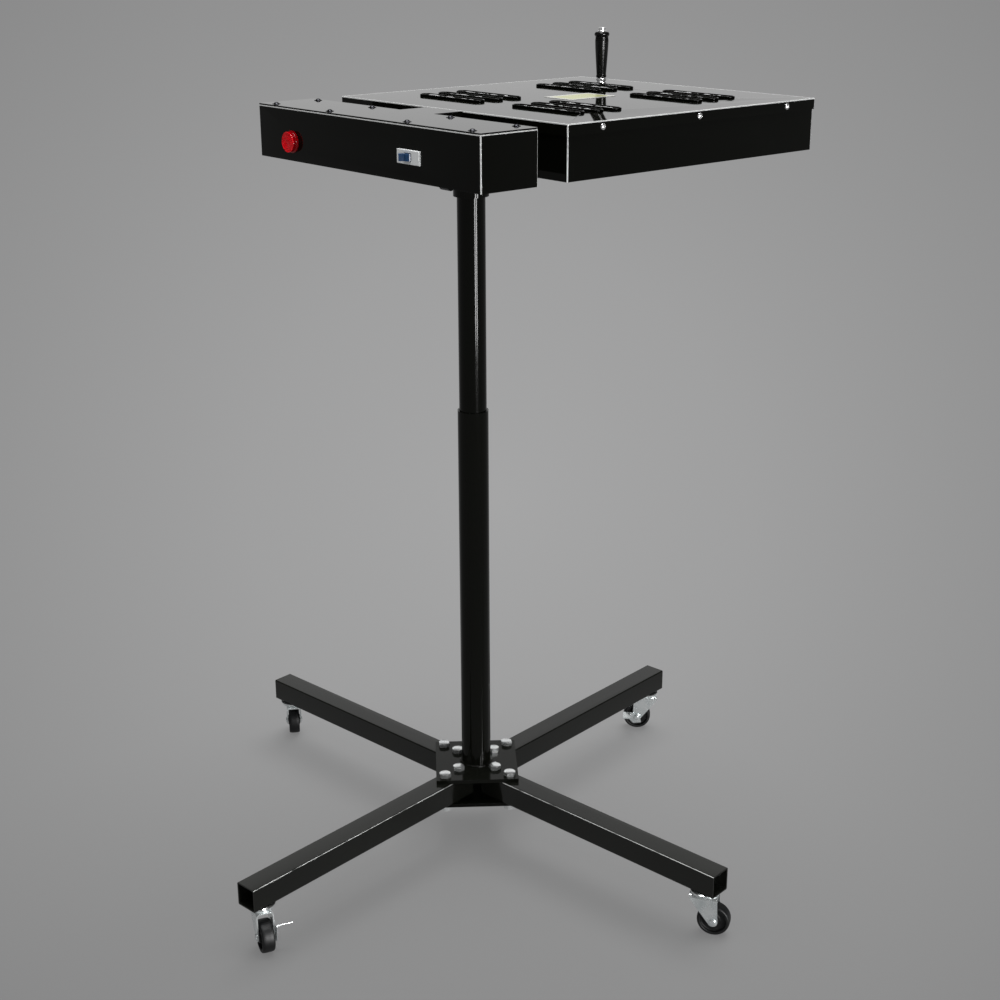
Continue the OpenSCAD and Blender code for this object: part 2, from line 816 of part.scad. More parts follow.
module gland_nut() {
    color("#2b2b2d") translate([-head_w/2 + sheet_t, gland_y, gland_z]) rotate([0, 90, 0])
        difference() {
            hex(gland_af, gland_nut_t);
            translate([0, 0, -eps]) cylinder(d = gland_d + 2*fit, h = gland_nut_t + 2*eps);
        }
}

// Handle
module handle_post() {
    color("#cfd1d3") translate([handle_x, handle_y, 0]) {
        translate([0, 0, head_top - sheet_t - post_nut_h])
            cylinder(d = post_d, h = post_top - head_top + sheet_t + post_nut_h + eps);
        translate([0, 0, post_top]) cylinder(d = post_head_d, h = post_head_h);
        translate([0, 0, head_top - sheet_t - post_nut_h]) difference() {
            hex(post_nut_af, post_nut_h);
            translate([0, 0, -eps]) cylinder(d = post_d - eps, h = post_nut_h + 2*eps);
        }
    }
}

module handle_ferrule() {
    color("#cfd1d3") translate([handle_x, handle_y, head_top])
        ring(ferrule_d, post_d + 2*fit, ferrule_h);
}

module handle_grip() {
    bore = post_d/2 + fit;
    color("#161617") translate([handle_x, handle_y, grip_z]) rotate_extrude()
        polygon([[bore, 0], [grip_foot_d/2, 0], [grip_foot_d/2, grip_len*0.12],
            [grip_top_d/2, grip_len*0.86], [grip_top_d/2, grip_len],
            [collar_d/2 - 1, grip_len], [collar_d/2, grip_len + collar_h*0.3],
            [collar_d/2, grip_len + collar_h*0.7], [collar_d/2 - 1, grip_len + collar_h],
            [bore, grip_len + collar_h]]);
}

// Casters
module at_caster(i) {
    at_leg(i) translate([stem_r, 0, 0])
        rotate([0, 0, headings[i] - leg_angles[i] - base_turn]) children();
}

module caster_head(i) {
    color("#c4c7c9") at_caster(i) {
        translate([0, 0, caster_h]) cylinder(d = stem_d, h = stem_len);
        translate([0, 0, caster_h + leg_wall]) hex(stem_nut_af, stem_nut_h);
        translate([0, 0, caster_h - race_h]) rotate_extrude()
            polygon([[0, 0], [race_d*0.41, 0], [race_d*0.41, race_h*0.2], [race_d*0.47, race_h*0.2],
                [race_d/2, race_h*0.4], [race_d/2, race_h*0.7], [race_d*0.47, race_h*0.85],
                [race_d*0.42, race_h], [0, race_h]]);
        translate([0, 0, crown_z - seat - rivet_h]) rotate_extrude()
            polygon([[0, 0], [rivet_d*0.34, 0], [rivet_d/2, rivet_h*0.5], [rivet_d/2, rivet_h], [0, rivet_h]]);
        translate([0, 0, crown_z - seat]) cylinder(d = stem_d, h = caster_h - race_h - crown_z + seat);
    }
}

// Section of a fork across its axle: folded sheet with round shoulders, standing on z = 0
module fork_arch() {
    difference() {
        translate([0, crown_top/2]) rounded(2*fork_out, crown_top, shoulder_r);
        translate([0, crown_z/2 - shoulder_r]) rounded(2*(fork_out - fork_t), crown_z + 2*shoulder_r, shoulder_r - fork_t);
    }
}

// Outline of a fork seen along its axle
module fork_side() {
    drop = crown_t + shoulder_r/2;
    translate([trail, wheel_d/2]) circle(d = fork_boss_d);
    polygon([[-crown_len/2, crown_top + eps], [crown_len/2, crown_top + eps], [crown_len/2, crown_top - drop],
        [trail + fork_boss_d/2, wheel_d/2], [trail - fork_boss_d*0.393, wheel_d/2 - fork_boss_d*0.309],
        [-crown_len/2, crown_top - drop]]);
}

module fork(i) {
    reach = crown_len/2 + trail;
    color("#c8cbcd") at_caster(i) difference() {
        union() {
            intersection() {
                translate([-reach, 0, 0]) rotate([90, 0, 90]) linear_extrude(2*reach) fork_arch();
                translate([0, fork_out + eps, 0]) rotate([90, 0, 0]) linear_extrude(2*(fork_out + eps)) fork_side();
            }
            translate([0, 0, crown_top - crown_t/2]) rotate_extrude()
                polygon([[0, 0], [lower_race_d/2 - lower_race_h, 0], [lower_race_d/2, crown_t/2 + lower_race_h*0.3],
                    [lower_race_d/2, crown_t/2 + lower_race_h*0.7], [lower_race_d/2 - lower_race_h/2, crown_t/2 + lower_race_h],
                    [0, crown_t/2 + lower_race_h]]);
        }
        translate([0, 0, crown_z - eps])
            cylinder(d = stem_d + 2*fit, h = crown_t + lower_race_h + 2*eps);
        translate([trail, -fork_out - eps, wheel_d/2]) rotate([-90, 0, 0])
            cylinder(d = axle_d + 2*fit, h = 2*(fork_out + eps));
    }
}

// Domed head of an axle rivet, standing on z = 0
module axle_head() {
    rotate_extrude()
        polygon([[0, 0], [axle_head_d/2, 0], [axle_head_d/2, axle_head_h*0.35], [axle_head_d*0.42, axle_head_h*0.75],
            [axle_head_d*0.26, axle_head_h], [0, axle_head_h]]);
}

module axle(i) {
    long = fork_out + (braked[i] ? lever_gap + lever_t + seat : 0);
    color("#b4b7b9") at_caster(i) translate([trail, 0, wheel_d/2]) {
        rotate([90, 0, 0]) translate([0, 0, -long]) cylinder(d = axle_d, h = long + fork_out);
        translate([0, long, 0]) rotate([-90, 0, 0]) axle_head();
        translate([0, -fork_out, 0]) rotate([90, 0, 0]) axle_head();
    }
}

module wheel(i) {
    r = wheel_d/2;
    w = wheel_w/2;
    web = w*web_w_share;
    color("#151516") at_caster(i) translate([trail, 0, r]) rotate([90, 0, 0]) rotate_extrude($fn = 72)
        polygon([[axle_d/2 + fit, -hub_w/2], [hub_d/2, -hub_w/2], [hub_d/2, -web],
            [r*rim_share, -web], [r*rim_share, -w], [r - tread_crown, -w], [r, -w + 3*tread_crown],
            [r, w - 3*tread_crown], [r - tread_crown, w], [r*rim_share, w], [r*rim_share, web],
            [hub_d/2, web], [hub_d/2, hub_w/2], [axle_d/2 + fit, hub_w/2]]);
}

// Pressed brake lever on the left side of a fork, with its foot pad turned outward
module brake_lever(i) {
    foot_x = wheel_d*0.5;
    foot_z = wheel_d*0.16;
    color("#c8cbcd") at_caster(i) translate([trail, lever_y, wheel_d/2]) rotate([0, -lever_lifts[i], 0]) {
        difference() {
            translate([0, lever_t, 0]) rotate([90, 0, 0]) linear_extrude(lever_t) {
                circle(d = fork_boss_d);
                polygon([[-wheel_d*0.17, -wheel_d*0.2], [wheel_d*0.12, -wheel_d*0.24],
                    [foot_x, foot_z - lever_t], [foot_x, foot_z + lever_t],
                    [foot_x - pad_w, foot_z + lever_t], [-wheel_d*0.12, wheel_d*0.06]]);
            }
            translate([0, -eps, 0]) rotate([-90, 0, 0]) cylinder(d = axle_d + 2*fit, h = lever_t + 2*eps);
        }
        translate([foot_x - pad_w, 0, foot_z]) cube([pad_w, pad_len, lever_t]);
    }
}

base_plate_top();
base_plate_bottom();
leg_front();
leg_right();
leg_rear();
leg_left();
leg_bolts();
leg_nuts();
outer_tube();
guide_bush();
mast_lock();
inner_tube();
swivel_socket();
socket_bolts();
head_lock();
control_chassis();
control_cover();
cover_screws();
neck_duct();
heater_case();
heater_lid();
lid_screws();
reflector_tray();
insulation_blanket();
heating_tubes();
tube_caps();
tube_rails();
wire_guard();
pilot_lens();
pilot_body();
pilot_nut();
breaker_body();
breaker_toggle();
din_rail();
terminal_block();
cord_gland();
gland_nut();
handle_post();
handle_ferrule();
handle_grip();
caster_head(0);  // caster_head_front
caster_head(1);  // caster_head_right
caster_head(2);  // caster_head_rear
caster_head(3);  // caster_head_left
fork(0);  // fork_front
fork(1);  // fork_right
fork(2);  // fork_rear
fork(3);  // fork_left
axle(0);  // axle_front
axle(1);  // axle_right
axle(2);  // axle_rear
axle(3);  // axle_left
wheel(0);  // wheel_front
wheel(1);  // wheel_right
wheel(2);  // wheel_rear
wheel(3);  // wheel_left
brake_lever(0);  // brake_lever_front
brake_lever(2);  // brake_lever_rear
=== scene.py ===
import bmesh
import bpy
import json
import math
import numpy as np
from mathutils import Matrix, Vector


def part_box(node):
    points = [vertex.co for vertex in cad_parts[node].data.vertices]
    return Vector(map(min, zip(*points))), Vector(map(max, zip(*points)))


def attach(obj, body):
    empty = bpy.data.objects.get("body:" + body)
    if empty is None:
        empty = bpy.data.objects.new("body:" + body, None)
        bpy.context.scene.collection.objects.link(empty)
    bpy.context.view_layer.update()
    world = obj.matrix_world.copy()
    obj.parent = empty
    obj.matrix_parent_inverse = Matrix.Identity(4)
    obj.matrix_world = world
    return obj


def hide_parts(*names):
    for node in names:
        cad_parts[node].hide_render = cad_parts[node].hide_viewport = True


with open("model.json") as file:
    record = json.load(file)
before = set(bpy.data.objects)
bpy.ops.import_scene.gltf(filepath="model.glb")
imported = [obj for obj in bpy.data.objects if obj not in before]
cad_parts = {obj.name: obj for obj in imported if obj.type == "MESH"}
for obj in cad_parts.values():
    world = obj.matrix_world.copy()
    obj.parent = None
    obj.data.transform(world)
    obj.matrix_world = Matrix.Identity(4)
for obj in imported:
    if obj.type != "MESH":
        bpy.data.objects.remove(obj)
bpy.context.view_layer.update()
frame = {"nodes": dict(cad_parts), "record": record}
nodes = frame["nodes"]
bodyOf = {n: b for b, ns in frame["record"]["behaviour"]["bodies"].items() for n in ns}
slotOf = {s["node"]: s["material_slot"] for s in frame["record"]["subparts"]}
print("frame loaded:", len(nodes), "nodes")


# Shader maths: a socket that can be written in sums and products
class Wire:
    def __init__(self, finish, socket):
        self.finish, self.socket = finish, socket

    def joined(self, operation, a, b, clamped=False):
        return self.finish.add("ShaderNodeMath", {"operation": operation, "use_clamp": clamped},
                               {0: a, 1: b})

    def __add__(self, other):
        return self.joined("ADD", self, other)

    def __sub__(self, other):
        return self.joined("SUBTRACT", self, other)

    def __rsub__(self, other):
        return self.joined("SUBTRACT", other, self)

    def __mul__(self, other):
        return self.joined("MULTIPLY", self, other)

    def __truediv__(self, other):
        return self.joined("DIVIDE", self, other)

    def __pow__(self, other):
        return self.joined("POWER", self, other)

    def __abs__(self):
        return self.joined("ABSOLUTE", self, 0.0)

    def least(self, other):
        return self.joined("MINIMUM", self, other)

    def most(self, other):
        return self.joined("MAXIMUM", self, other)

    def above(self, low, high):  # 0 under low, 1 over high, a straight ramp between
        return self.joined("MULTIPLY", self - low, 1 / (high - low), clamped=True)


class Finish:
    def __init__(self, name, **fixed):
        self.material = bpy.data.materials.new(name)
        self.material.use_nodes = True
        self.tree = self.material.node_tree
        self.tree.nodes.clear()
        output = self.tree.nodes.new("ShaderNodeOutputMaterial")
        self.surface = self.tree.nodes.new("ShaderNodeBsdfPrincipled")
        self.tree.links.new(self.surface.outputs[0], output.inputs[0])
        for socket, value in fixed.items():
            self.put(self.surface.inputs[socket.replace("_", " ")], value)
        self.place = self.add("ShaderNodeTexCoord", out="Object")

    def put(self, socket, value):
        if isinstance(value, Wire):
            self.tree.links.new(value.socket, socket)
        elif isinstance(value, (tuple, list)) and socket.type == "RGBA":
            socket.default_value = tuple(value[:3]) + (1,)
        else:
            socket.default_value = value

    def add(self, kind, settings=None, inputs=None, out=0):
        node = self.tree.nodes.new(kind)
        for key, value in (settings or {}).items():
            if key == "stops":
                while len(node.color_ramp.elements) < len(value):
                    node.color_ramp.elements.new(0.5)
                for stop, (at, colour) in zip(node.color_ramp.elements, value):
                    stop.position, stop.color = at, tuple(colour) + (1,)
            else:
                setattr(node, key, value)
        for key, value in (inputs or {}).items():
            self.put(node.inputs[key], value)
        return Wire(self, node.outputs[out])

    def pattern(self, name, stretch=None):
        row = patterns[name]
        where, stretch = self.place, stretch or row.get("stretch")
        if stretch:
            where = self.vector("MULTIPLY", where, stretch)
        if "cells" in row:
            level = self.add("ShaderNodeTexVoronoi", {"feature": row["cells"]},
                             {"Vector": where, "Scale": row["scale"]}, "Distance")
        else:
            level = self.add("ShaderNodeTexNoise", None, {"Vector": where, "Scale": row["scale"],
                             "Detail": row["detail"], "Roughness": row.get("roughness", 0.55)})
        return level.above(*row["ramp"]) if "ramp" in row else level

    def vector(self, operation, first, second=None, out=0):
        inputs = {0: first} if second is None else {0: first, 1: second}
        return self.add("ShaderNodeVectorMath", {"operation": operation}, inputs, out)

    def blend(self, factor, first, second):
        return self.add("ShaderNodeMix", {"data_type": "RGBA"}, {0: factor, 6: first, 7: second}, 2)

    def axis(self, index):
        return self.add("ShaderNodeSeparateXYZ", None, {0: self.place}, index)

    def bump(self, height, strength, distance=0.0004):
        relief = self.add("ShaderNodeBump", None,
                          {"Height": height, "Strength": strength, "Distance": distance})
        self.put(self.surface.inputs["Normal"], relief)

    def glow(self, colour, strength):
        self.put(self.surface.inputs["Emission Color"], colour)
        self.surface.inputs["Emission Strength"].default_value = strength

    def done(self, colour, roughness):
        self.put(self.surface.inputs["Base Color"], colour)
        self.put(self.surface.inputs["Roughness"], roughness)
        return self.material


# Noise and cell patterns: scale is per metre, and a ramp turns what lies between its ends into 0 to 1
patterns = {
    "dustPatches": {"scale": 9, "detail": 6, "roughness": 0.7, "ramp": (0.56, 0.8)},
    "dustFlecks": {"scale": 900, "detail": 2, "ramp": (0.55, 0.8)},
    "scratches": {"scale": 30, "detail": 2, "roughness": 0.5, "stretch": (1, 14, 9), "ramp": (0.66, 0.72)},
    "scratchPatches": {"scale": 6, "detail": 2, "ramp": (0.45, 0.65)},
    # the next pattern breaks up the pale line painted along the boxes' folded edges, a painted highlight
    "foldHighlightBreakup": {"scale": 38, "detail": 4, "roughness": 0.7, "ramp": (0.2, 0.4)},
    "orangePeel": {"scale": 160, "detail": 2},
    "sheetWaves": {"scale": 45, "detail": 2},
    "glossDrift": {"scale": 5, "detail": 4},
    "rubbedPatches": {"scale": 12, "detail": 5, "roughness": 0.6, "ramp": (0.5, 0.75)},
    "grit": {"scale": 700, "detail": 2, "ramp": (0.7, 0.78)},
    "gritPatches": {"scale": 14, "detail": 3, "ramp": (0.5, 0.7)},
    "tubeTones": {"scale": 25, "detail": 4},
    # the next pattern breaks up the pale line painted along the legs' upper edges, a painted highlight
    "legHighlightBreakup": {"scale": 30, "detail": 4, "roughness": 0.7, "ramp": (0.34, 0.5)},
    "tubeGrain": {"scale": 420, "detail": 2},
    "passivation": {"scale": 55, "detail": 4, "roughness": 0.6},
    "drawLines": {"scale": 600, "detail": 2, "roughness": 0.5},
    "tarnishSpecks": {"scale": 520, "cells": "F1", "ramp": (0.0, 0.12)},
    "heatBands": {"scale": 16, "detail": 3, "roughness": 0.6, "stretch": (2.5, 0.6, 1)},
    "oxideScale": {"scale": 420, "detail": 3},
    "foilCreases": {"scale": 95, "cells": "DISTANCE_TO_EDGE", "ramp": (0.0, 0.25)},
    "foilWrinkles": {"scale": 240, "detail": 3},
    "foilTones": {"scale": 40, "detail": 3},
    "foilGloss": {"scale": 70, "detail": 2},
    "mouldClouds": {"scale": 45, "detail": 4, "roughness": 0.6},
    "sparkGrain": {"scale": 1300, "detail": 2},
    "floorDust": {"scale": 60, "detail": 5, "roughness": 0.65, "ramp": (0.45, 0.75)},
    "scuffs": {"scale": 210, "detail": 3, "roughness": 0.6},
    "rubberGrain": {"scale": 900, "detail": 2},
    "prisms": {"scale": 330, "cells": "DISTANCE_TO_EDGE", "ramp": (0.0, 0.3)},
    "lensGloss": {"scale": 300, "detail": 2},
    "plateFading": {"scale": 30, "detail": 4, "roughness": 0.6},
    "plateGrain": {"scale": 500, "detail": 2},
}
# the pale edge colour and its width below make a painted highlight along edges, broken up like wear
paint = {"glossBlack": (0.0024, 0.0027, 0.0018), "tubeBlack": (0.003, 0.0033, 0.0022),
         "lowerTubeBlack": (0.0045, 0.0048, 0.0036), "plateBlack": (0.006, 0.0065, 0.005),
         "legBlack": (0.008, 0.0085, 0.007), "dust": (0.09, 0.088, 0.08), "edgeHighlightTone": (0.8, 0.81, 0.8),
         "edgeHighlightWidth": 0.0013, "glossRoughness": 0.055, "tubeRoughness": 0.1, "lowerRoughness": 0.06,
         "legRoughness": 0.13, "sheetIor": 1.22, "legIor": 1.36,
         "dustShare": 0.2, "peelShare": 0.7, "relief": 0.02, "driftGloss": 0.03, "scratchGloss": 0.1,
         "dustGloss": 0.12, "glossOffset": 0.015, "gritShare": 0.3, "paleShare": 0.5, "paler": 1.4,
         "edgeHighlightShare": 0.8, "legRelief": 0.05, "rubbedGloss": 0.04}


def edgeOfBox(f, low, high):
    # distance to the nearest edge of a box: of the three distances to its nearest faces, the middle one
    x, y, z = [(f.axis(i) - low[i]).least(high[i] - f.axis(i)) for i in range(3)]
    return x.least(y).most(x.most(y).least(z))


def edgeOfLegs(f, turn, halfWidth, top):
    # distance to the upper edges of the cross's four tubes, which lie along two turned axes
    c, s = math.cos(turn), math.sin(turn)
    x, y = f.axis(0), f.axis(1)
    across = abs(y * c - x * s).least(abs(x * c + y * s))
    return (halfWidth - across).most(top - f.axis(2))


def paintedEdgeHighlight(edge, f, shareFrom, shareTo, wear):
    # 1 on a strip along an edge, where a pale line is painted as a highlight, broken up by a noise pattern
    # that looks like wear
    kept = edge(f).above(paint["edgeHighlightWidth"] * shareFrom, paint["edgeHighlightWidth"] * shareTo)
    return (1 - kept) * f.pattern(wear)


def glossyPaint(name, colour, rough, ior=1.25, edge=None):
    # wet-looking enamel: faint orange peel, settled dust, hair scratches,
    # and, where an edge is given, a pale line painted along the folded edges: a painted highlight, broken up
    # like wear
    f = Finish(name, IOR=ior)
    dust = f.pattern("dustPatches") * f.pattern("dustFlecks")
    scratch = f.pattern("scratches") * f.pattern("scratchPatches")
    tone = f.blend(dust * paint["dustShare"], colour, paint["dust"])
    if edge:
        # painted highlight: a pale line along the folded edges
        tone = f.blend(paintedEdgeHighlight(edge, f, 1, 1.2, "foldHighlightBreakup"), tone, paint["edgeHighlightTone"])
    peel = f.pattern("orangePeel") * paint["peelShare"] + f.pattern("sheetWaves") * (1 - paint["peelShare"])
    f.bump(peel, paint["relief"])
    gloss = f.pattern("glossDrift") * paint["driftGloss"] + scratch * paint["scratchGloss"]
    return f.done(tone, gloss + dust * paint["dustGloss"] + (rough - paint["glossOffset"]))


def legPaint(name, edge=None):
    # tube enamel: duller than the boxes', rubbed smoother in patches, and, where an edge is given, a pale
    # line painted along the upper edges: a painted highlight broken up like wear
    f = Finish(name, IOR=paint["legIor"])
    grit = f.pattern("grit") * f.pattern("gritPatches")
    pale = tuple(paint["paler"] * c for c in paint["legBlack"])
    tone = f.blend(f.pattern("tubeTones") * paint["paleShare"], paint["legBlack"], pale)
    tone = f.blend(grit * paint["gritShare"], tone, paint["dust"])
    if edge:
        # painted highlight: a pale line along the legs' upper edges
        tone = f.blend(paintedEdgeHighlight(edge, f, 0.6, 0.8, "legHighlightBreakup") * paint["edgeHighlightShare"], tone, paint["edgeHighlightTone"])
    f.bump(f.pattern("tubeGrain"), paint["legRelief"])
    return f.done(tone, paint["legRoughness"] - f.pattern("rubbedPatches") * paint["rubbedGloss"])


metal = {"blackOxide": (0.05, 0.05, 0.055), "wire": (0.62, 0.6, 0.56), "aluminium": (0.86, 0.87, 0.88),
         "tarnish": (0.25, 0.26, 0.26), "tarnishShare": 0.35, "shadeRamp": (0.4, 0.75), "lineShare": 0.6,
         "relief": 0.06, "cloudGloss": 0.16, "lineGloss": 0.05, "glossOffset": 0.08,
         "sheath": 0.85, "sheathRelief": 0.12, "sheathGloss": 0.25, "sheathRoughness": 0.3,
         "heatTints": [(0.0, (0.1, 0.1, 0.11)), (0.45, (0.2, 0.185, 0.165)),
                       (0.62, (0.34, 0.25, 0.16)), (1.0, (0.2, 0.21, 0.26))]}


def platedSteel(name, colour, shade, rough, grain=(1, 1, 1), haze=1.0):
    # plated metal: cloudy passivation that scatters light (haze below 1), faint drawing lines, tarnish specks
    f = Finish(name, Metallic=haze)
    cloud, lines = f.pattern("passivation"), f.pattern("drawLines", grain)
    tone = f.blend(cloud.above(*metal["shadeRamp"]), colour, shade)
    tone = f.blend((1 - f.pattern("tarnishSpecks")) * metal["tarnishShare"], tone, metal["tarnish"])
    f.bump(lines * metal["lineShare"] + cloud * (1 - metal["lineShare"]), metal["relief"])
    gloss = cloud * metal["cloudGloss"] + lines * metal["lineGloss"]
    return f.done(tone, gloss + (rough - metal["glossOffset"]))


def sheathSteel(name):
    # heating tube: oxidised sheath, straw and blue heat tints in bands along the run
    f = Finish(name, Metallic=metal["sheath"])
    band = f.pattern("heatBands")
    f.bump(f.pattern("oxideScale"), metal["sheathRelief"])
    tone = f.add("ShaderNodeValToRGB", {"stops": metal["heatTints"]}, {0: band})
    return f.done(tone, band * metal["sheathGloss"] + metal["sheathRoughness"])


foilLook = {"metallic": 0.65, "bright": (0.95, 0.96, 0.96), "dull": (0.6, 0.6, 0.6), "creaseShare": 0.7,
            "relief": 0.5, "depth": 0.0012, "gloss": 0.2, "roughness": 0.14}


def crumpledFoil(name):
    # foil face of the blanket: bright creases, duller flats
    f = Finish(name, Metallic=foilLook["metallic"])
    creases = f.pattern("foilCreases") * foilLook["creaseShare"]
    wrinkles = f.pattern("foilWrinkles") * (1 - foilLook["creaseShare"])
    f.bump(creases + wrinkles, foilLook["relief"], foilLook["depth"])
    tone = f.blend(f.pattern("foilTones"), foilLook["bright"], foilLook["dull"])
    return f.done(tone, f.pattern("foilGloss") * foilLook["gloss"] + foilLook["roughness"])


mould = {"grimeRamp": (0.35, 0.8), "grimeShare": 0.4, "grime": 0.72, "barrelShade": 0.18, "barrelFrom": -0.0004,
         "barrelTo": 0.0002, "grainShare": 0.7, "cloudGloss": 0.1, "grainGloss": 0.04, "glossOffset": 0.06}


def moulded(name, colour, rough, grain=0.05, ior=1.46, barrelY=None):
    # injection moulding: faint spark-eroded grain and slow changes of gloss, a little grime in the low spots
    f = Finish(name, IOR=ior)
    cloud, fine = f.pattern("mouldClouds"), f.pattern("sparkGrain")
    grime = cloud.above(*mould["grimeRamp"]) * mould["grimeShare"]
    tone = f.blend(grime, colour, tuple(mould["grime"] * c for c in colour))
    if barrelY:
        # what lies behind this y is the toggle's barrel in its opening, painted darker: painted shade in the
        # opening
        behind = f.axis(1).above(barrelY + mould["barrelFrom"], barrelY + mould["barrelTo"])
        tone = f.blend(behind, tone, tuple(mould["barrelShade"] * c for c in colour))
    f.bump(fine * mould["grainShare"] + cloud * (1 - mould["grainShare"]), grain)
    gloss = cloud * mould["cloudGloss"] + fine * mould["grainGloss"]
    return f.done(tone, gloss + (rough - mould["glossOffset"]))


rubber = {"ior": 1.32, "black": (0.005, 0.0055, 0.006), "dust": (0.06, 0.06, 0.058), "dustShare": 0.18,
          "scuffShare": 0.6, "relief": 0.12, "depth": 0.0006, "scuffGloss": 0.15, "roughness": 0.4}


def rubberTread(name):
    # wheel: floor dust worked into the tread, scuffs across it
    f = Finish(name, IOR=rubber["ior"])
    scuff = f.pattern("scuffs")
    tone = f.blend(f.pattern("floorDust") * rubber["dustShare"], rubber["black"], rubber["dust"])
    grain = f.pattern("rubberGrain") * (1 - rubber["scuffShare"])
    f.bump(scuff * rubber["scuffShare"] + grain, rubber["relief"], rubber["depth"])
    return f.done(tone, scuff * rubber["scuffGloss"] + rubber["roughness"])


# the wall colours below are painted shade on the drum's side, the face's glow is painted light, the bright
# colour is a painted highlight on the prisms
lens = {"ior": 1.42, "bright": (0.86, 0.006, 0.016), "deep": (0.42, 0.0, 0.003), "wall": (0.2, 0.0, 0.002),
        "faceShare": 0.85, "paintedFaceGlow": (0.9, 0.004, 0.012), "wallGlow": (0.1, 0.0, 0.001), "glow": 0.09,
        "relief": 0.3, "depth": 0.0008, "gloss": 0.08, "roughness": 0.12,
        "wallTop": 0.0068, "faceFrom": 0.0074, "flutes": 24, "segments": 192}


def redLens(name):
    # pilot lamp: deep red polycarbonate with a painted highlight, brighter where the prisms of its face throw
    # the light back; its side wall is painted darker as painted shade, and a faint painted glow, weaker on
    # the wall, lightens it
    f = Finish(name, IOR=lens["ior"])
    prism = f.pattern("prisms")
    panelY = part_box("pilot_lens")[1].y
    face = 1 - f.axis(1).above(panelY - lens["faceFrom"], panelY - lens["wallTop"])
    # painted highlight along the prisms' edges on the face, painted shade on the drum's wall
    tone = f.blend(face * lens["faceShare"], lens["wall"], f.blend(prism, lens["bright"], lens["deep"]))
    f.bump(prism, lens["relief"], lens["depth"])
    # a faint painted glow, weaker on the wall
    f.glow(f.blend(face, lens["wallGlow"], lens["paintedFaceGlow"]), lens["glow"])
    return f.done(tone, f.pattern("lensGloss") * lens["gloss"] + lens["roughness"])


plate = {"x": -0.001, "y": 0.206, "width": 0.060, "depth": 0.088, "thick": 0.0004, "corner": 0.004,
         "segments": 64, "fieldAcross": (0.74, 0.76), "fieldAlong": (0.82, 0.835), "ior": 1.45,
         "field": ((0.29, 0.3, 0.13), (0.34, 0.35, 0.17)), "border": ((0.43, 0.43, 0.4), (0.37, 0.37, 0.34)),
         "relief": 0.03, "grain": 0.0003, "gloss": 0.12, "roughness": 0.16}


def barePlate(name):
    # blank plate: cream border round a pale yellow-green field, both faded in patches
    f = Finish(name, IOR=plate["ior"])
    across = abs(f.axis(0) - plate["x"]) / (plate["width"] / 2)
    along = abs(f.axis(1) - plate["y"]) / (plate["depth"] / 2)
    inside = (1 - across.above(*plate["fieldAcross"])) * (1 - along.above(*plate["fieldAlong"]))
    faded = f.pattern("plateFading")
    f.bump(f.pattern("plateGrain"), plate["relief"], plate["grain"])
    tone = f.blend(inside, f.blend(faded, *plate["border"]), f.blend(faded, *plate["field"]))
    return f.done(tone, faded * plate["gloss"] + plate["roughness"])


legLow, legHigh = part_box("leg_right")
legs = {"turn": math.radians(7), "halfWidth": (legHigh.z - legLow.z) / 2, "top": legHigh.z}
barrelFront = -0.1874  # the toggle's paddle stands out in front of this y

looks = {
    "black_powder_coat": legPaint("legEnamel"),
    "black_enamel_tube": glossyPaint("mastEnamel", paint["tubeBlack"], paint["tubeRoughness"]),
    "black_gloss_sheet": glossyPaint("glossSheetPaint", paint["glossBlack"], paint["glossRoughness"],
                                     paint["sheetIor"]),
    "zinc_fastener": platedSteel("zincFastener", (0.96, 0.97, 0.97), (0.8, 0.83, 0.83), 0.2, haze=0.85),
    "caster_zinc": platedSteel("casterZinc", (0.85, 0.88, 0.88), (0.6, 0.65, 0.66), 0.24, (1, 1, 12), 0.72),
    "zinc_sheet": platedSteel("zincSheet", (0.55, 0.57, 0.57), (0.38, 0.4, 0.41), 0.34, (14, 1, 1)),
    "black_screw": platedSteel("blackOxideScrew", metal["blackOxide"], (0.025, 0.025, 0.03), 0.3),
    "bright_screw": platedSteel("brightNickel", (0.95, 0.95, 0.95), (0.8, 0.8, 0.8), 0.13, haze=0.8),
    "guard_wire": platedSteel("guardWire", metal["wire"], (0.34, 0.27, 0.2), 0.3),
    "reflector_aluminium": platedSteel("polishedReflector", metal["aluminium"], (0.72, 0.72, 0.72), 0.18,
                                       (10, 1, 1)),
    "foil_blanket": crumpledFoil("foilBlanket"),
    "heater_sheath": sheathSteel("heaterSheath"),
    "steatite": moulded("steatiteCap", (0.72, 0.68, 0.58), 0.4, 0.08),
    "black_nylon": moulded("blackNylon", (0.012, 0.012, 0.0125), 0.42, 0.12),
    "black_grip": moulded("blackGrip", (0.005, 0.005, 0.0045), 0.2, 0.02, ior=1.35),
    "red_lens": redLens("redPilotLens"),
    "white_moulding": moulded("whiteMoulding", (0.88, 0.9, 0.9), 0.3, 0.03),
    "blue_moulding": moulded("blueToggle", (0.006, 0.045, 0.13), 0.28, 0.03, barrelY=barrelFront),
    "cream_moulding": moulded("creamMoulding", (0.72, 0.67, 0.52), 0.34, 0.03),
    "wheel_black": rubberTread("wheelRubber"),
}
# the legs' enamel with a pale line painted along their upper edges: a painted highlight
looks["rubbed_leg"] = legPaint("legEnamelWithPaintedHighlight",
                              lambda f: edgeOfLegs(f, legs["turn"], legs["halfWidth"], legs["top"]))
looks["raceway"] = platedSteel("racewayZinc", (0.97, 0.98, 0.98), (0.7, 0.74, 0.74), 0.14)
looks["lower_tube"] = glossyPaint("lowerTubeEnamel", paint["lowerTubeBlack"], paint["lowerRoughness"], 1.24)
looks["plate_paint"] = glossyPaint("basePlateEnamel", paint["plateBlack"], paint["lowerRoughness"], 1.23)
print("finishes made:", len(looks))


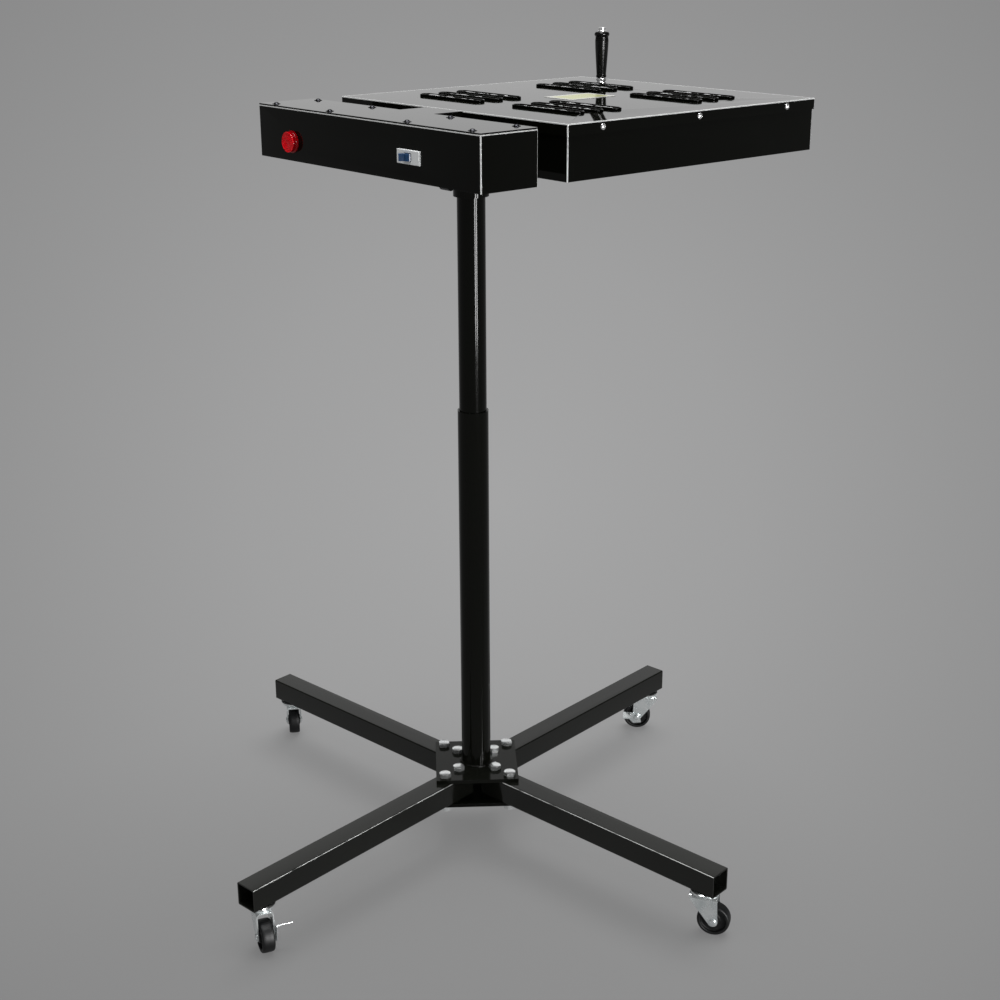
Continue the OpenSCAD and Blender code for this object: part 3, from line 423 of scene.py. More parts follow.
# Surfaces worked out on grids
def meshObject(name, points, faces, look, smooth=True):
    mesh = bpy.data.meshes.new(name)
    mesh.from_pydata(np.asarray(points, float).reshape(-1, 3), [], faces)
    mesh.materials.append(look)
    mesh.polygons.foreach_set("use_smooth", np.full(len(mesh.polygons), smooth))
    mesh.update()
    piece = bpy.data.objects.new(name, mesh)
    bpy.context.scene.collection.objects.link(piece)
    return piece


def gridFaces(rows, columns, closeRows=False, closeColumns=False):
    # quads between neighbouring rows and columns, wrapped round where a direction closes
    i, j = np.meshgrid(np.arange(rows if closeRows else rows - 1),
                       np.arange(columns if closeColumns else columns - 1), indexing="ij")
    i, j = i.ravel(), j.ravel()
    i2, j2 = (i + 1) % rows, (j + 1) % columns
    return np.stack([i * columns + j, i * columns + j2, i2 * columns + j2, i2 * columns + j], 1)


def roundAngles(segments):
    return np.linspace(0, 2 * np.pi, segments, endpoint=False)


def turned(profile, segments=64):
    # a lathe: each point (r, h) of the profile goes round the axis as (r cos a, r sin a, h)
    r, h = np.asarray(profile, float).T
    a = roundAngles(segments)
    points = np.stack([np.outer(r, np.cos(a)), np.outer(r, np.sin(a)),
                       np.repeat(h[:, None], segments, 1)], -1)
    return points.reshape(-1, 3), gridFaces(len(r), segments, closeColumns=True)


def rounded(profile, radius, steps=4):
    # each inner corner of the profile becomes a quadratic curve that starts and ends radius away from it
    p = np.asarray(profile, float)
    out = [p[:1]]
    t = np.linspace(0, 1, steps + 1)[:, None]
    for a, b, c in zip(p[:-2], p[1:-1], p[2:]):
        la, lc = np.linalg.norm(a - b), np.linalg.norm(c - b)
        s = b + (a - b) * min(radius / la, 0.49)
        e = b + (c - b) * min(radius / lc, 0.49)
        out.append((1 - t) ** 2 * s + 2 * t * (1 - t) * b + t ** 2 * e)
    out.append(p[-1:])
    return np.concatenate(out)


def placed(points, origin, towards=(0, 0, 1), turn=0.0):
    # local z goes to the given direction, after a turn about it
    z = np.asarray(towards, float) / np.linalg.norm(towards)
    x = np.cross((0.0, 1.0, 0.0) if abs(z[1]) < 0.9 else (1.0, 0.0, 0.0), z)
    x /= np.linalg.norm(x)
    y = np.cross(z, x)
    c, s = math.cos(turn), math.sin(turn)
    q = points @ np.array([[c, s, 0], [-s, c, 0], [0, 0, 1.0]])
    return q @ np.stack([x, y, z]) + np.asarray(origin, float)


def gathered(parts):
    # several point and face arrays as one
    points, faces, start = [], [], 0
    for p, f in parts:
        points.append(p)
        faces.extend((np.asarray(g) + start).tolist() for g in f)
        start += len(p)
    return np.concatenate(points), faces


flat = {"gap": 0.000004, "angle": 0.4}


def merged(piece, angle):
    # joins loose triangles, dissolves flat ones, keeps true edges sharp
    work = bmesh.new()
    work.from_mesh(piece.data)
    bmesh.ops.remove_doubles(work, verts=work.verts, dist=flat["gap"])
    bmesh.ops.dissolve_limit(work, angle_limit=math.radians(flat["angle"]),
                             verts=work.verts, edges=work.edges)
    work.to_mesh(piece.data)
    work.free()
    piece.data.shade_smooth()
    piece.data.set_sharp_from_angle(angle=math.radians(angle))


def onBody(piece, body, instead=()):
    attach(piece, body)
    if instead:
        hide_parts(*instead)


edges = {"sheet": 0.0008, "tube": 0.0006, "plate": 0.0008, "knob": 0.0022, "pressed": 0.0005,
         "sharpAngle": 32, "bevelAngle": 35, "farAway": 9}


def softEdged(node, width, look=None, segments=2):
    # a copy of a CAD node with its triangles joined and its edges rounded
    copy = bpy.data.objects.new(node + "_rounded", nodes[node].data.copy())
    bpy.context.scene.collection.objects.link(copy)
    copy.data.materials.clear()
    copy.data.materials.append(look or looks[slotOf[node]])
    merged(copy, edges["sharpAngle"])
    bevel = copy.modifiers.new("edge", "BEVEL")
    bevel.width, bevel.segments, bevel.limit_method = width, segments, "ANGLE"
    bevel.angle_limit = math.radians(edges["bevelAngle"])
    bevel.harden_normals = True
    onBody(copy, bodyOf[node], [node])


for name, piece in nodes.items():
    piece.data.materials.clear()
    piece.data.materials.append(looks["raceway" if name.startswith("caster_head") else slotOf[name]])

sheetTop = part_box("control_cover")[1].z  # the lid's sheet lies level with the cover's
foldTops = {"control_chassis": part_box("control_chassis")[1].z, "control_cover": edges["farAway"],
            "heater_case": edges["farAway"], "heater_lid": sheetTop}
for node, top in foldTops.items():  # edges that another sheet covers are set far away and keep their paint
    low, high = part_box(node)
    back = edges["farAway"] if node == "control_cover" else 0
    ends = ((low.x, low.y - back, low.z - edges["farAway"]), (high.x, high.y, top))
    # each sheet gets a pale line painted along its uncovered edges: a painted highlight
    sheet = glossyPaint(node + "Paint", paint["glossBlack"], paint["glossRoughness"], paint["sheetIor"],
                        lambda f, ends=ends: edgeOfBox(f, *ends))
    softEdged(node, edges["sheet"], sheet, segments=3)
softEdged("neck_duct", edges["sheet"], segments=3)
# only the two legs nearest the camera get the painted edge highlight
for node in ("leg_front", "leg_right"):
    softEdged(node, edges["tube"], looks["rubbed_leg"], segments=3)
for node in ("leg_rear", "leg_left"):
    softEdged(node, edges["tube"], segments=3)
softEdged("base_plate_top", edges["plate"], looks["plate_paint"])
# the bottom plate takes the darker, less reflective sheet paint instead of the plate's: painted shade in the
# hollow between the legs
softEdged("base_plate_bottom", edges["plate"], looks["black_gloss_sheet"])
softEdged("outer_tube", edges["sheet"], looks["lower_tube"])
softEdged("swivel_socket", edges["plate"], looks["lower_tube"])
for node in ("mast_lock", "head_lock"):
    softEdged(node, edges["knob"], segments=4)
for node in ("fork_front", "fork_right", "fork_rear", "fork_left", "brake_lever_front", "brake_lever_rear"):
    softEdged(node, edges["pressed"])
for node in ("breaker_body", "breaker_toggle", "terminal_block", "cord_gland"):
    softEdged(node, edges["sheet"])
print("edges rounded")

# Vent slots: a rolled lip stands round each
vents = {"length": 0.130, "width": 0.014, "pitch": 0.034, "groupX": 0.101, "groupY": 0.113, "middleY": 0.197,
         "lipHeight": 0.0033, "lipWidth": 0.0022, "lipFoot": -0.001, "roundSteps": 9, "loopSteps": 72}
slotPlaces = [(sx * vents["groupX"], vents["middleY"] + sy * vents["groupY"] + k * vents["pitch"])
              for sx in (-1, 1) for sy in (-1, 1) for k in (-1, 0, 1)]


def slotLip(x, y):
    # a closed section, an upright loop with a round top, carried round the slot's outline:
    # two straight runs and two half circles
    t = np.linspace(0, np.pi, vents["roundSteps"])
    w, h, foot = vents["lipWidth"] / 2, vents["lipHeight"], vents["lipFoot"]
    top = np.stack([w - w * np.cos(t), h - w + w * np.sin(t)], 1)
    section = np.concatenate([[(0.0, foot)], top, [(2 * w, foot)]])
    a = roundAngles(vents["loopSteps"])
    radius = vents["width"] / 2
    run = vents["length"] / 2 - radius
    reach = radius + section[:, 0]
    px = x + np.sign(np.cos(a))[:, None] * run + np.outer(np.cos(a), reach)
    py = y + np.outer(np.sin(a), reach)
    pz = sheetTop + np.repeat(section[None, :, 1], len(a), 0)
    return np.stack([px, py, pz], -1).reshape(-1, 3), gridFaces(len(a), len(section), True, True)


lips = meshObject("vent_lips", *gathered([slotLip(x, y) for x, y in slotPlaces]), looks["black_gloss_sheet"])
onBody(lips, "head")

# Foil-faced blanket under the lid, seen through the vents
foil = {"crumple": 0.0055, "creases": 26, "columns": 120, "rows": 110, "seed": 7, "waves": (30, 260),
        "phases": 6.28, "wobble": 0.8, "wobbleWaves": 35, "drop": 0.002, "sag": 0.0005, "border": 0.012,
        "slotColumns": 80, "slotRows": 15, "slotEndGap": 0.003, "slotEndPower": 14, "slotHalfWidth": 0.0055,
        "slotCrumple": 0.0022, "slotStretch": (2.2, 3.0), "bulgeTop": 0.0035, "bulgeFoot": 0.0125}


def creased(x, y, rng):
    # folded waves, |sin| of plane waves in many directions, scaled to run from 0 to 1
    z = np.zeros_like(x)
    for k in range(foil["creases"]):
        a, waves, p = rng.uniform(0, np.pi), rng.uniform(*foil["waves"]), rng.uniform(0, foil["phases"])
        wobble = foil["wobble"] * np.sin(x * foil["wobbleWaves"] + p)
        z += np.abs(np.sin((x * np.cos(a) + y * np.sin(a)) * waves + p + wobble)) * foil["waves"][0] / waves
    return (z - z.min()) / (z.max() - z.min())


def foilBlanket():
    # creases faded out at the border, where the foil folds down round the blanket
    low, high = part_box("insulation_blanket")
    n, m = foil["columns"], foil["rows"]
    gx, gy = np.meshgrid(np.linspace(low.x, high.x, n), np.linspace(low.y, high.y, m), indexing="ij")
    z = creased(gx, gy, np.random.default_rng(foil["seed"]))
    edge = np.minimum(np.minimum(gx - low.x, high.x - gx), np.minimum(gy - low.y, high.y - gy))
    top = high.z - foil["drop"] + np.clip(edge / foil["border"], 0, 1) * (z * foil["crumple"] - foil["sag"])
    points = np.stack([gx, gy, top], -1).reshape(-1, 3)
    border = np.concatenate([np.arange(n) * m, (n - 1) * m + np.arange(1, m),
                             np.arange(n - 2, -1, -1) * m + m - 1, np.arange(m - 2, 0, -1)])
    skirt = points[border].copy()
    skirt[:, 2] = low.z
    start, count = len(points), len(border)
    k = np.arange(count)
    walls = np.stack([start + k, start + (k + 1) % count, border[(k + 1) % count], border[k]], 1)
    faces = gridFaces(n, m)[:, ::-1].tolist() + walls.tolist() + [(start + k[::-1]).tolist()]
    return np.concatenate([points, skirt]), faces


def foilInSlot(x, y, rng):
    # half an ellipse across and rounded ends along, creased: the foil swells up into a slot
    n, m = foil["slotColumns"], foil["slotRows"]
    gu, gv = np.meshgrid(np.linspace(-1, 1, n), np.linspace(-1, 1, m), indexing="ij")
    across = np.sqrt(np.clip(1 - gv ** 2, 0, 1))
    shape = across * np.sqrt(np.clip(1 - np.abs(gu) ** foil["slotEndPower"], 0, 1))
    px, py = x + gu * (vents["length"] / 2 - foil["slotEndGap"]), y + gv * foil["slotHalfWidth"]
    creases = creased(px * foil["slotStretch"][0], py * foil["slotStretch"][1], rng)
    rise = foil["bulgeFoot"] + foil["bulgeTop"] - foil["slotCrumple"] * creases
    pz = sheetTop - foil["bulgeFoot"] + shape * rise
    return np.stack([px, py, pz], -1).reshape(-1, 3), gridFaces(n, m)[:, ::-1]


onBody(meshObject("foil_blanket", *foilBlanket(), looks["foil_blanket"]),
       "head", ["insulation_blanket"])
slotRng = np.random.default_rng(foil["seed"] + 1)
swells = [foilInSlot(x, y, slotRng) for x, y in slotPlaces]
onBody(meshObject("foil_in_slots", *gathered(swells), looks["foil_blanket"]), "head")
print("foil blanket made")

# Screws with cross recess: a domed head whose height drops in a plus-shaped hollow
screws = {"coverHead": 0.008, "coverHeight": 0.0026, "coverShank": 0.006, "coverSeed": 3,
          "lidHead": 0.0084, "lidHeight": 0.0024, "lidShank": 0.0055, "lidSeed": 5, "turns": 1.57,
          "shankD": 0.004, "shankSegments": 24, "rings": 26, "segments": 48, "domePower": 2.6,
          "rimShare": 0.22, "lowRimShare": 0.2, "recessWidth": 0.13, "recessLength": 0.48,
          "recessSide": 0.06, "recessEnd": 0.1, "recessDepth": 0.5,
          "halfSpan": 0.240, "coverShares": (-0.883, -0.35, 0.35, 0.883), "coverInset": 0.004,
          "lidMiddleY": 0.197, "lidPitch": 0.179, "lidRearY": 0.437,
          "washerIn": 0.0042, "washerOut": 0.0056, "washerThick": 0.0005, "washerFillet": 0.0002,
          "washerSegments": 40}


def crossHead(diameter, height):
    # dome h = H (1 - (r/R)^2.6), less a hollow along two crossed bars
    r = np.linspace(0, 1, screws["rings"])
    a = roundAngles(screws["segments"])
    x, y = np.outer(r, np.cos(a)), np.outer(r, np.sin(a))

    def bar(u, v):
        across = np.clip((screws["recessWidth"] - np.abs(u)) / screws["recessSide"], 0, 1)
        return across * np.clip((screws["recessLength"] - np.abs(v)) / screws["recessEnd"], 0, 1)
    hollow = np.maximum(bar(x, y), bar(y, x))
    dome = screws["rimShare"] + (1 - screws["rimShare"]) * (1 - r[:, None] ** screws["domePower"])
    z = height * dome - height * screws["recessDepth"] * hollow
    z[-1] = 0.0
    z[-2] = height * screws["lowRimShare"]
    x[-2], y[-2] = x[-1], y[-1]
    points = np.stack([x, y, z], -1) * (diameter / 2, diameter / 2, 1)
    return points.reshape(-1, 3), gridFaces(len(r), len(a), closeColumns=True)


def shank(diameter, length, segments):
    return turned([(diameter / 2, 0), (diameter / 2, -length), (0, -length)], segments)


def screwSet(name, places, size, look, instead):
    parts = []
    turns = np.random.default_rng(screws[size + "Seed"]).uniform(0, screws["turns"], len(places))
    head = crossHead(screws[size + "Head"], screws[size + "Height"])
    stem = shank(screws["shankD"], screws[size + "Shank"], screws["shankSegments"])
    for (origin, towards), turn in zip(places, turns):
        parts += [(placed(points, origin, towards, turn), faces) for points, faces in (head, stem)]
    onBody(meshObject(name, *gathered(parts), looks[look]), "head", instead)


coverLow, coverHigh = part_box("cover_screws")
coverYs = (coverLow.y + screws["coverInset"], coverHigh.y - screws["coverInset"])
coverPlaces = [((share * screws["halfSpan"], y, sheetTop), (0, 0, 1))
               for share in screws["coverShares"] for y in coverYs]
screwSet("cover_screw_heads", coverPlaces, "cover", "black_screw", ["cover_screws"])
lidLow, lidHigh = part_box("lid_screws")
lidZ = (lidLow.z + lidHigh.z) / 2
lidPlaces = [((sx * screws["halfSpan"], screws["lidMiddleY"] + k * screws["lidPitch"], lidZ), (sx, 0, 0))
             for sx in (-1, 1) for k in (-1, 0, 1)]
lidPlaces += [((k * screws["lidPitch"], screws["lidRearY"], lidZ), (0, 1, 0)) for k in (-1, 0, 1)]
screwSet("lid_screw_heads", lidPlaces, "lid", "bright_screw", ["lid_screws"])
ring = [(screws["washerIn"], 0.0), (screws["washerIn"], screws["washerThick"]),
        (screws["washerOut"], screws["washerThick"]), (screws["washerOut"], 0.0)]
ringPoints, ringFaces = turned(rounded(ring, screws["washerFillet"]), screws["washerSegments"])
washers = [(placed(ringPoints, origin, towards), ringFaces) for origin, towards in coverPlaces]
onBody(meshObject("cover_screw_washers", *gathered(washers), looks["black_screw"]), "head")
print("screws made")

# Hex bolts and nuts of the base, with chamfered corners
bolts = {"across": 0.016, "head": 0.0064, "nut": 0.008, "shank": 0.010, "length": 0.057, "innerR": 0.040,
         "outerR": 0.070, "baseTurn": 7, "segments": 72, "chamferFrom": 0.98, "chamferAngle": 30,
         "faceShare": 0.95, "dishShare": 0.7, "washerR": 0.010, "washerThick": 0.002, "washerFillet": 0.0003,
         "washerSegments": 48, "shankSegments": 32, "sharpAngle": 28, "seed": 11, "turns": 1.05}


def chamferedHex(height, both=False):
    # the radius follows a hexagon, and the end face drops where the radius passes the flats' circle
    a = roundAngles(bolts["segments"])
    halfAcross = bolts["across"] / 2
    hexR = halfAcross / np.cos((a + np.pi / 6) % (np.pi / 3) - np.pi / 6)
    over = (hexR - halfAcross * bolts["chamferFrom"]) * math.tan(math.radians(bolts["chamferAngle"]))
    foot = over if both else np.zeros_like(a)
    face, dish = halfAcross * bolts["faceShare"], halfAcross * bolts["dishShare"]
    rings = [(0, 0), (face, 0), (hexR, foot), (hexR, height - over),
             (face, height), (dish, height), (0, height)]
    points = np.concatenate([np.stack([r * np.cos(a), r * np.sin(a), z + 0 * a], 1) for r, z in rings])
    return points, gridFaces(len(rings), len(a), closeColumns=True)


def hardware(name, placesAndTurns, parts, look, instead):
    built = []
    for origin, turn in placesAndTurns:
        for points, faces, lift in parts:
            built.append((placed(points + (0, 0, lift), origin, (0, 0, 1), turn), faces))
    piece = meshObject(name, *gathered(built), looks[look], smooth=False)
    merged(piece, bolts["sharpAngle"])
    onBody(piece, "base", instead)


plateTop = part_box("base_plate_top")[1].z
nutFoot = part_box("base_plate_bottom")[0].z - bolts["nut"] - bolts["washerThick"]
boltPlaces = []
rng = np.random.default_rng(bolts["seed"])
for legAngle in (0, 90, 180, 270):
    for radius in (bolts["innerR"], bolts["outerR"]):
        a = math.radians(legAngle + bolts["baseTurn"])
        boltPlaces.append((radius * math.cos(a), radius * math.sin(a)))
headTurns = rng.uniform(0, bolts["turns"], len(boltPlaces))
nutTurns = rng.uniform(0, bolts["turns"], len(boltPlaces))
stem = shank(bolts["shank"], bolts["length"], bolts["shankSegments"])
hardware("base_bolt_heads", [((x, y, plateTop), t) for (x, y), t in zip(boltPlaces, headTurns)],
         [(*chamferedHex(bolts["head"]), 0.0), (*stem, 0.0)], "zinc_fastener", ["leg_bolts"])
disc = [(0, 0), (bolts["washerR"], 0), (bolts["washerR"], bolts["washerThick"]), (0, bolts["washerThick"])]
washer = turned(rounded(disc, bolts["washerFillet"]), bolts["washerSegments"])
hardware("base_nuts", [((x, y, nutFoot), t) for (x, y), t in zip(boltPlaces, nutTurns)],
         [(*chamferedHex(bolts["nut"], both=True), 0.0), (*washer, bolts["nut"])],
         "zinc_fastener", ["leg_nuts"])
print("base hardware made")

# Weld bead round the mast's foot: a torus whose section swells with each ripple
weld = {"ringR": 0.0232, "beadR": 0.0019, "ripples": 54, "rippleDepth": 0.13, "wander": 0.07, "lift": 0.0006,
        "around": 368, "section": 14}


def weldBead():
    a, s = roundAngles(weld["around"]), roundAngles(weld["section"])
    ripple = np.abs(np.sin(a * weld["ripples"] / 2))
    swell = 1 + weld["rippleDepth"] * ripple + weld["wander"] * np.sin(a * 3 + 1)
    r = weld["ringR"] + np.outer(swell, np.cos(s)) * weld["beadR"]
    z = plateTop + weld["lift"] + np.outer(swell, np.sin(s)) * weld["beadR"]
    points = np.stack([r * np.cos(a)[:, None], r * np.sin(a)[:, None], np.maximum(z, plateTop)], -1)
    return points.reshape(-1, 3), gridFaces(weld["around"], weld["section"], True, True)


onBody(meshObject("mast_weld", *weldBead(), looks["lower_tube"]), "base")

# Revolving handle: moulded grip, bright ferrule and a cap nut
handle = {"x": -0.122, "y": 0.366, "bore": 0.0041, "gap": 0.0003,
          "gripFillet": 0.0012, "gripSteps": 5, "gripSegments": 72,
          "ferruleHeight": 0.0094, "ferruleR": 0.0078, "grooveR": 0.0068, "ferruleFillet": 0.0005,
          "ferruleSegments": 64, "flangeR": 0.0066, "flangeHeight": 0.0012, "neckHeight": 0.0014,
          "capR": 0.0055, "capFillet": 0.0003, "capSegments": 48}
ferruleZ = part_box("handle_ferrule")[0].z
gripFoot = ferruleZ + handle["ferruleHeight"] + handle["gap"]
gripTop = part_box("handle_grip")[1].z
capFoot = gripTop + handle["gap"]


def onHandle(name, piece, profile, foot, look, flipped=True):
    outline = rounded(profile, handle[piece + "Fillet"], handle.get(piece + "Steps", 4))
    points, faces = turned(outline, handle[piece + "Segments"])
    points = points + (handle["x"], handle["y"], foot)
    return meshObject(name, points, faces[:, ::-1] if flipped else faces, looks[look])


h = gripTop - gripFoot
profile = [(handle["bore"], 0.0), (0.0072, 0.0), (0.0079, 0.0012), (0.0079, 0.0035), (0.0074, 0.0045),
           (0.0076, 0.008), (0.0087, h * 0.35), (0.0099, h * 0.62), (0.0104, h * 0.8), (0.0098, h * 0.885),
           (0.0102, h * 0.905), (0.0115, h * 0.925), (0.0115, h * 0.97), (0.0098, h), (handle["bore"], h)]
onBody(onHandle("turned_grip", "grip", profile, gripFoot, "black_grip"),
       "grip", ["handle_grip"])
h, r, groove = handle["ferruleHeight"], handle["ferruleR"], handle["grooveR"]
profile = [(handle["bore"], 0), (r, 0), (r, h * 0.4), (groove, h * 0.47), (groove, h * 0.55),
           (r, h * 0.62), (r, h), (handle["bore"], h)]
onBody(onHandle("handle_ferrule_turned", "ferrule", profile, ferruleZ, "bright_screw"),
       "head", ["handle_ferrule"])
h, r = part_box("handle_post")[1].z - capFoot, handle["capR"]
profile = [(0, 0), (handle["flangeR"], 0), (handle["flangeR"], handle["flangeHeight"]),
           (r, handle["neckHeight"]), (r, h * 0.55), (0.0046, h * 0.88), (0.002, h), (0.0016, h * 0.72),
           (0, h * 0.7)]
onBody(onHandle("handle_cap", "cap", profile, capFoot, "bright_screw", flipped=False),
       "head")
print("handle made")

# Pilot lamp: a drum with a rolled rim and a face of ring-shaped prisms
lampLow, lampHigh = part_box("pilot_lens")
lampFoot = ((lampLow.x + lampHigh.x) / 2, lampHigh.y, (lampLow.z + lampHigh.z) / 2)


def fluted(r, h, depth):
    # the radius swings by depth between the flutes
    a = roundAngles(lens["segments"])
    wave = 1 - depth[:, None] * np.abs(np.sin(a * lens["flutes"] / 2))[None, :]
    rr = r[:, None] * wave
    points = np.stack([rr * np.cos(a), rr * np.sin(a), np.repeat(h[:, None], len(a), 1)], -1)
    return points.reshape(-1, 3), gridFaces(len(r), len(a), closeColumns=True)


# radius, height and flute depth of each ring, from the panel to the middle of the face
lensRings = np.array([
    (0.015, 0.0, 0), (0.015, 0.0017, 0), (0.0146, 0.0021, 0), (0.0139, 0.0023, 0), (0.0137, 0.0027, 0),
    (0.0136, 0.0072, 0), (0.0138, 0.0076, 0), (0.0137, 0.0082, 0), (0.0132, 0.0085, 0),
    (0.0127, 0.0083, 0.02), (0.0122, 0.0076, 0.03), (0.0104, 0.0081, 0.03), (0.0094, 0.0074, 0.03),
    (0.0076, 0.0081, 0.03), (0.0066, 0.0074, 0.03), (0.0046, 0.0081, 0.03), (0.0036, 0.0075, 0),
    (0.0, 0.008, 0)])
lensPoints, lensFaces = fluted(*lensRings.T)
onBody(meshObject("pilot_lens_prisms", placed(lensPoints, lampFoot, (0, -1, 0)), lensFaces,
                  looks["red_lens"], smooth=False), "head", ["pilot_lens"])


# Bare plate on the lid
def platePad():
    # rounded rectangle outline, lifted to two levels and closed by one face each
    n, corner = plate["segments"], plate["corner"]
    a = roundAngles(n)
    c, s = np.cos(a), np.sin(a)
    outline = np.stack([plate["x"] + np.sign(c) * (plate["width"] / 2 - corner) + c * corner,
                        plate["y"] + np.sign(s) * (plate["depth"] / 2 - corner) + s * corner], 1)
    levels = [np.column_stack([outline, np.full(n, sheetTop + rise)]) for rise in (0, plate["thick"])]
    sides = gridFaces(2, n, closeColumns=True).tolist()
    return np.concatenate(levels), sides + [list(range(n))[::-1], list(range(n, 2 * n))]


onBody(meshObject("blank_plate", *platePad(), barePlate("blankPlate"), smooth=False),
       "head")
print("lamp and plate made")

# Caster wheels: tread with rounded shoulders, recessed web and hub
wheel = {"radius": 0.0235, "halfWidth": 0.009, "hubHalfWidth": 0.0101, "bore": 0.0031, "trail": 0.0145,
         "stemR": 0.438, "axleZ": 0.0235, "fillet": 0.0009, "segments": 96, "sharpAngle": 40}
# each caster's leg and heading as angles from +X, the leg's before the base's turn
casters = {"front": (270, -18), "right": (0, 32), "rear": (90, -137), "left": (180, 148)}


def wheelProfile():
    r, w = wheel["radius"], wheel["halfWidth"]
    shares = [(1, 0), (1, 0.42), (0.993, 0.62), (0.975, 0.85), (0.93, 1), (0.8, 1), (0.775, 0.9),
              (0.76, 0.56), (0.42, 0.5), (0.38, 0.9)]
    half = [(r * u, w * v) for u, v in shares]
    half += [(r * 0.36, wheel["hubHalfWidth"]), (wheel["bore"], wheel["hubHalfWidth"])]
    fine = rounded(half, wheel["fillet"])
    return np.concatenate([[(x, -y) for x, y in fine[::-1]], fine[1:]])


for corner, (legAngle, heading) in casters.items():
    a, h = math.radians(legAngle + bolts["baseTurn"]), math.radians(heading)
    axle = (wheel["stemR"] * math.cos(a) + wheel["trail"] * math.cos(h),
            wheel["stemR"] * math.sin(a) + wheel["trail"] * math.sin(h), wheel["axleZ"])
    points, faces = turned(wheelProfile(), wheel["segments"])
    piece = meshObject("moulded_wheel_" + corner, placed(points, axle, (-math.sin(h), math.cos(h), 0)),
                       faces, looks["wheel_black"])
    merged(piece, wheel["sharpAngle"])
    onBody(piece, "wheel_" + corner, ["wheel_" + corner])
print("wheels made")

# Floor with a round pool of light, and the studio
view = {"place": (1.7174, -1.4276, 1.3379), "yaw": 49.2744, "pitch": -19.5956, "roll": -0.197,
        "focalPixels": 1605.2, "pixels": 1000, "sensor": 36, "clipEnd": 200}
studio = {"floorHalf": 60, "floorIor": 1.2, "floorRoughness": 0.85, "ahead": (0.0, 0.01),
          "glow": 0.5, "glowStrength": 0.78, "blueShare": 1.003,
          "sun": 1.35, "sunAngle": 48, "sunTilt": (-20, -8),
          "sky": 0.36, "skyInGloss": 0.035, "skyInView": 0.228, "skyColour": (1.0, 1.0, 1.005, 1)}
pool = {"tangents": (0.0, 0.155, 0.311, 0.44, 0.62, 0.8), "tones": (0.49, 0.452, 0.385, 0.335, 0.30, 0.30)}


def viewAxes():
    yaw, pitch, roll = (math.radians(view[k]) for k in ("yaw", "pitch", "roll"))
    forward = np.array([-math.sin(yaw) * math.cos(pitch), math.cos(yaw) * math.cos(pitch), math.sin(pitch)])
    right = np.array([math.cos(yaw), math.sin(yaw), 0.0])
    up = np.cross(right, forward)
    c, s = math.cos(roll), math.sin(roll)
    return c * right + s * up, c * up - s * right, forward


def floorMaterial():
    # the pool is a cone of light: its tone follows the tangent of the angle from the cone's axis
    f = Finish("studioFloor", IOR=studio["floorIor"], Specular_IOR_Level=0.0)
    offset = f.vector("SUBTRACT", f.place, view["place"])
    along = f.vector("DOT_PRODUCT", offset, tuple(viewAxes()[2]), "Value")
    length = f.vector("LENGTH", offset, out="Value")
    tangent = ((length * length - along * along) ** 0.5) / along
    widest = pool["tangents"][-1]
    greys = [(t / widest, (v, v, v * studio["blueShare"])) for t, v in zip(pool["tangents"], pool["tones"])]
    tone = f.add("ShaderNodeValToRGB", {"stops": greys}, {0: tangent * (1 / widest)})
    tone = f.blend(along.above(*studio["ahead"]), (pool["tones"][-1],) * 3, tone)
    f.glow(tone, studio["glow"] * studio["glowStrength"])  # half the floor's light is its own: pale shadows
    return f.done(f.blend(studio["glow"], tone, (0, 0, 0)), studio["floorRoughness"])


half = studio["floorHalf"]
floor = meshObject("studio_floor", [[-half, -half, 0], [half, -half, 0], [half, half, 0], [-half, half, 0]],
                   [[0, 1, 2, 3]], floorMaterial(), smooth=False)
floorOut = bpy.data.collections.new("floorOut")  # the area lamps light everything but the floor
floorOut.objects.link(floor)
floorOut.collection_objects[0].light_linking.link_state = "EXCLUDE"

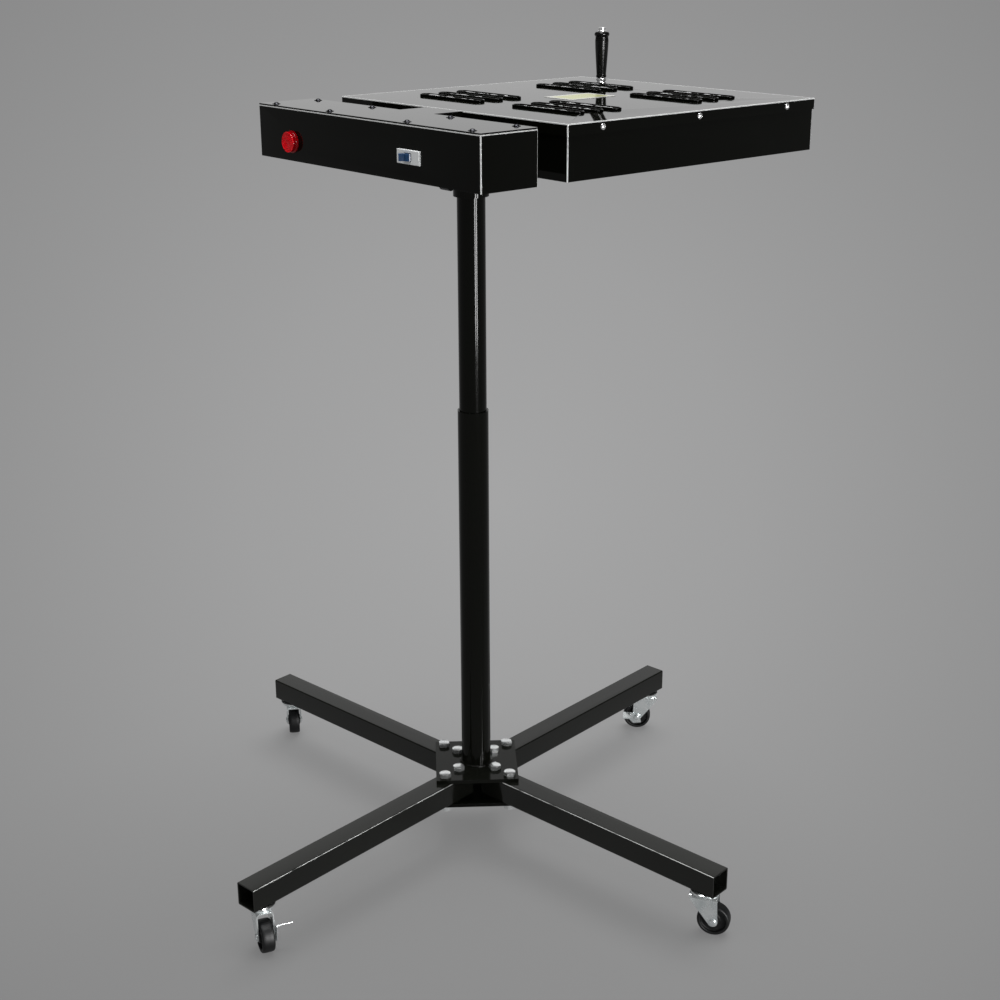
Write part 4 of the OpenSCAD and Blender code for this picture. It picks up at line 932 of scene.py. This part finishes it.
world = bpy.data.worlds.new("studioWorld")
bpy.context.scene.world = world
world.use_nodes = True
sky = world.node_tree
path = sky.nodes.new("ShaderNodeLightPath")
inGloss, inView = sky.nodes.new("ShaderNodeMapRange"), sky.nodes.new("ShaderNodeMapRange")
inGloss.inputs[3].default_value, inGloss.inputs[4].default_value = studio["sky"], studio["skyInGloss"]
inView.inputs[4].default_value = studio["skyInView"]
sky.links.new(path.outputs["Is Glossy Ray"], inGloss.inputs[0])
sky.links.new(path.outputs["Is Camera Ray"], inView.inputs[0])
sky.links.new(inGloss.outputs[0], inView.inputs[3])
sky.nodes["Background"].inputs[0].default_value = studio["skyColour"]
sky.links.new(inView.outputs[0], sky.nodes["Background"].inputs[1])
sunData = bpy.data.lights.new("key_sun", "SUN")
sunData.energy, sunData.angle = studio["sun"], math.radians(studio["sunAngle"])
sun = bpy.data.objects.new("key_sun", sunData)
sun.rotation_euler = (math.radians(studio["sunTilt"][0]), math.radians(studio["sunTilt"][1]), 0)
sun.visible_glossy = False
bpy.context.scene.collection.objects.link(sun)


def standing(thing, x, y, z, place):
    thing.matrix_world = Matrix(np.vstack([np.column_stack([x, y, z, place]), (0, 0, 0, 1)]))


def areaLight(name, place, target, width, height, watts, reflected=True, lighting=True):
    data = bpy.data.lights.new(name, "AREA")
    data.shape, data.size, data.size_y, data.energy = "RECTANGLE", width, height, watts
    lamp = bpy.data.objects.new(name, data)
    bpy.context.scene.collection.objects.link(lamp)
    towards = np.asarray(target, float) - np.asarray(place, float)
    z = -towards / np.linalg.norm(towards)
    x = np.cross((0.0, 0.0, 1.0), z)
    x /= np.linalg.norm(x)
    standing(lamp, x, np.cross(z, x), z, place)
    lamp.visible_camera = False
    lamp.visible_glossy = reflected
    lamp.visible_diffuse = lighting
    lamp.light_linking.receiver_collection = floorOut


areaLight("overhead_softbox", (0.3, -0.3, 3.6), (0, 0, 0.8), 1.5, 1.5, 90)
areaLight("rear_panel", (-3.79, 3.26, 2.6), (0, 0.0, 2.3), 7.0, 2.9, 42)
areaLight("side_strip", (3.1, -0.25, 0.72), (0, 0, 0.8), 0.4, 1.4, 26, reflected=False)
areaLight("tube_glint", (3.1, -0.25, 0.72), (0, 0, 0.8), 1.0, 1.4, 200, lighting=False)

# Camera at the photograph's angle
lensData = bpy.data.cameras.new("photoCamera")
lensData.sensor_fit, lensData.sensor_width = "HORIZONTAL", view["sensor"]
lensData.lens = view["focalPixels"] * view["sensor"] / view["pixels"]
lensData.clip_end = view["clipEnd"]
camera = bpy.data.objects.new("photoCamera", lensData)
bpy.context.scene.collection.objects.link(camera)
right, up, forward = viewAxes()
standing(camera, right, up, -forward, view["place"])
bpy.context.scene.camera = camera
bpy.context.scene.view_settings.view_transform = "Standard"
print("studio ready")
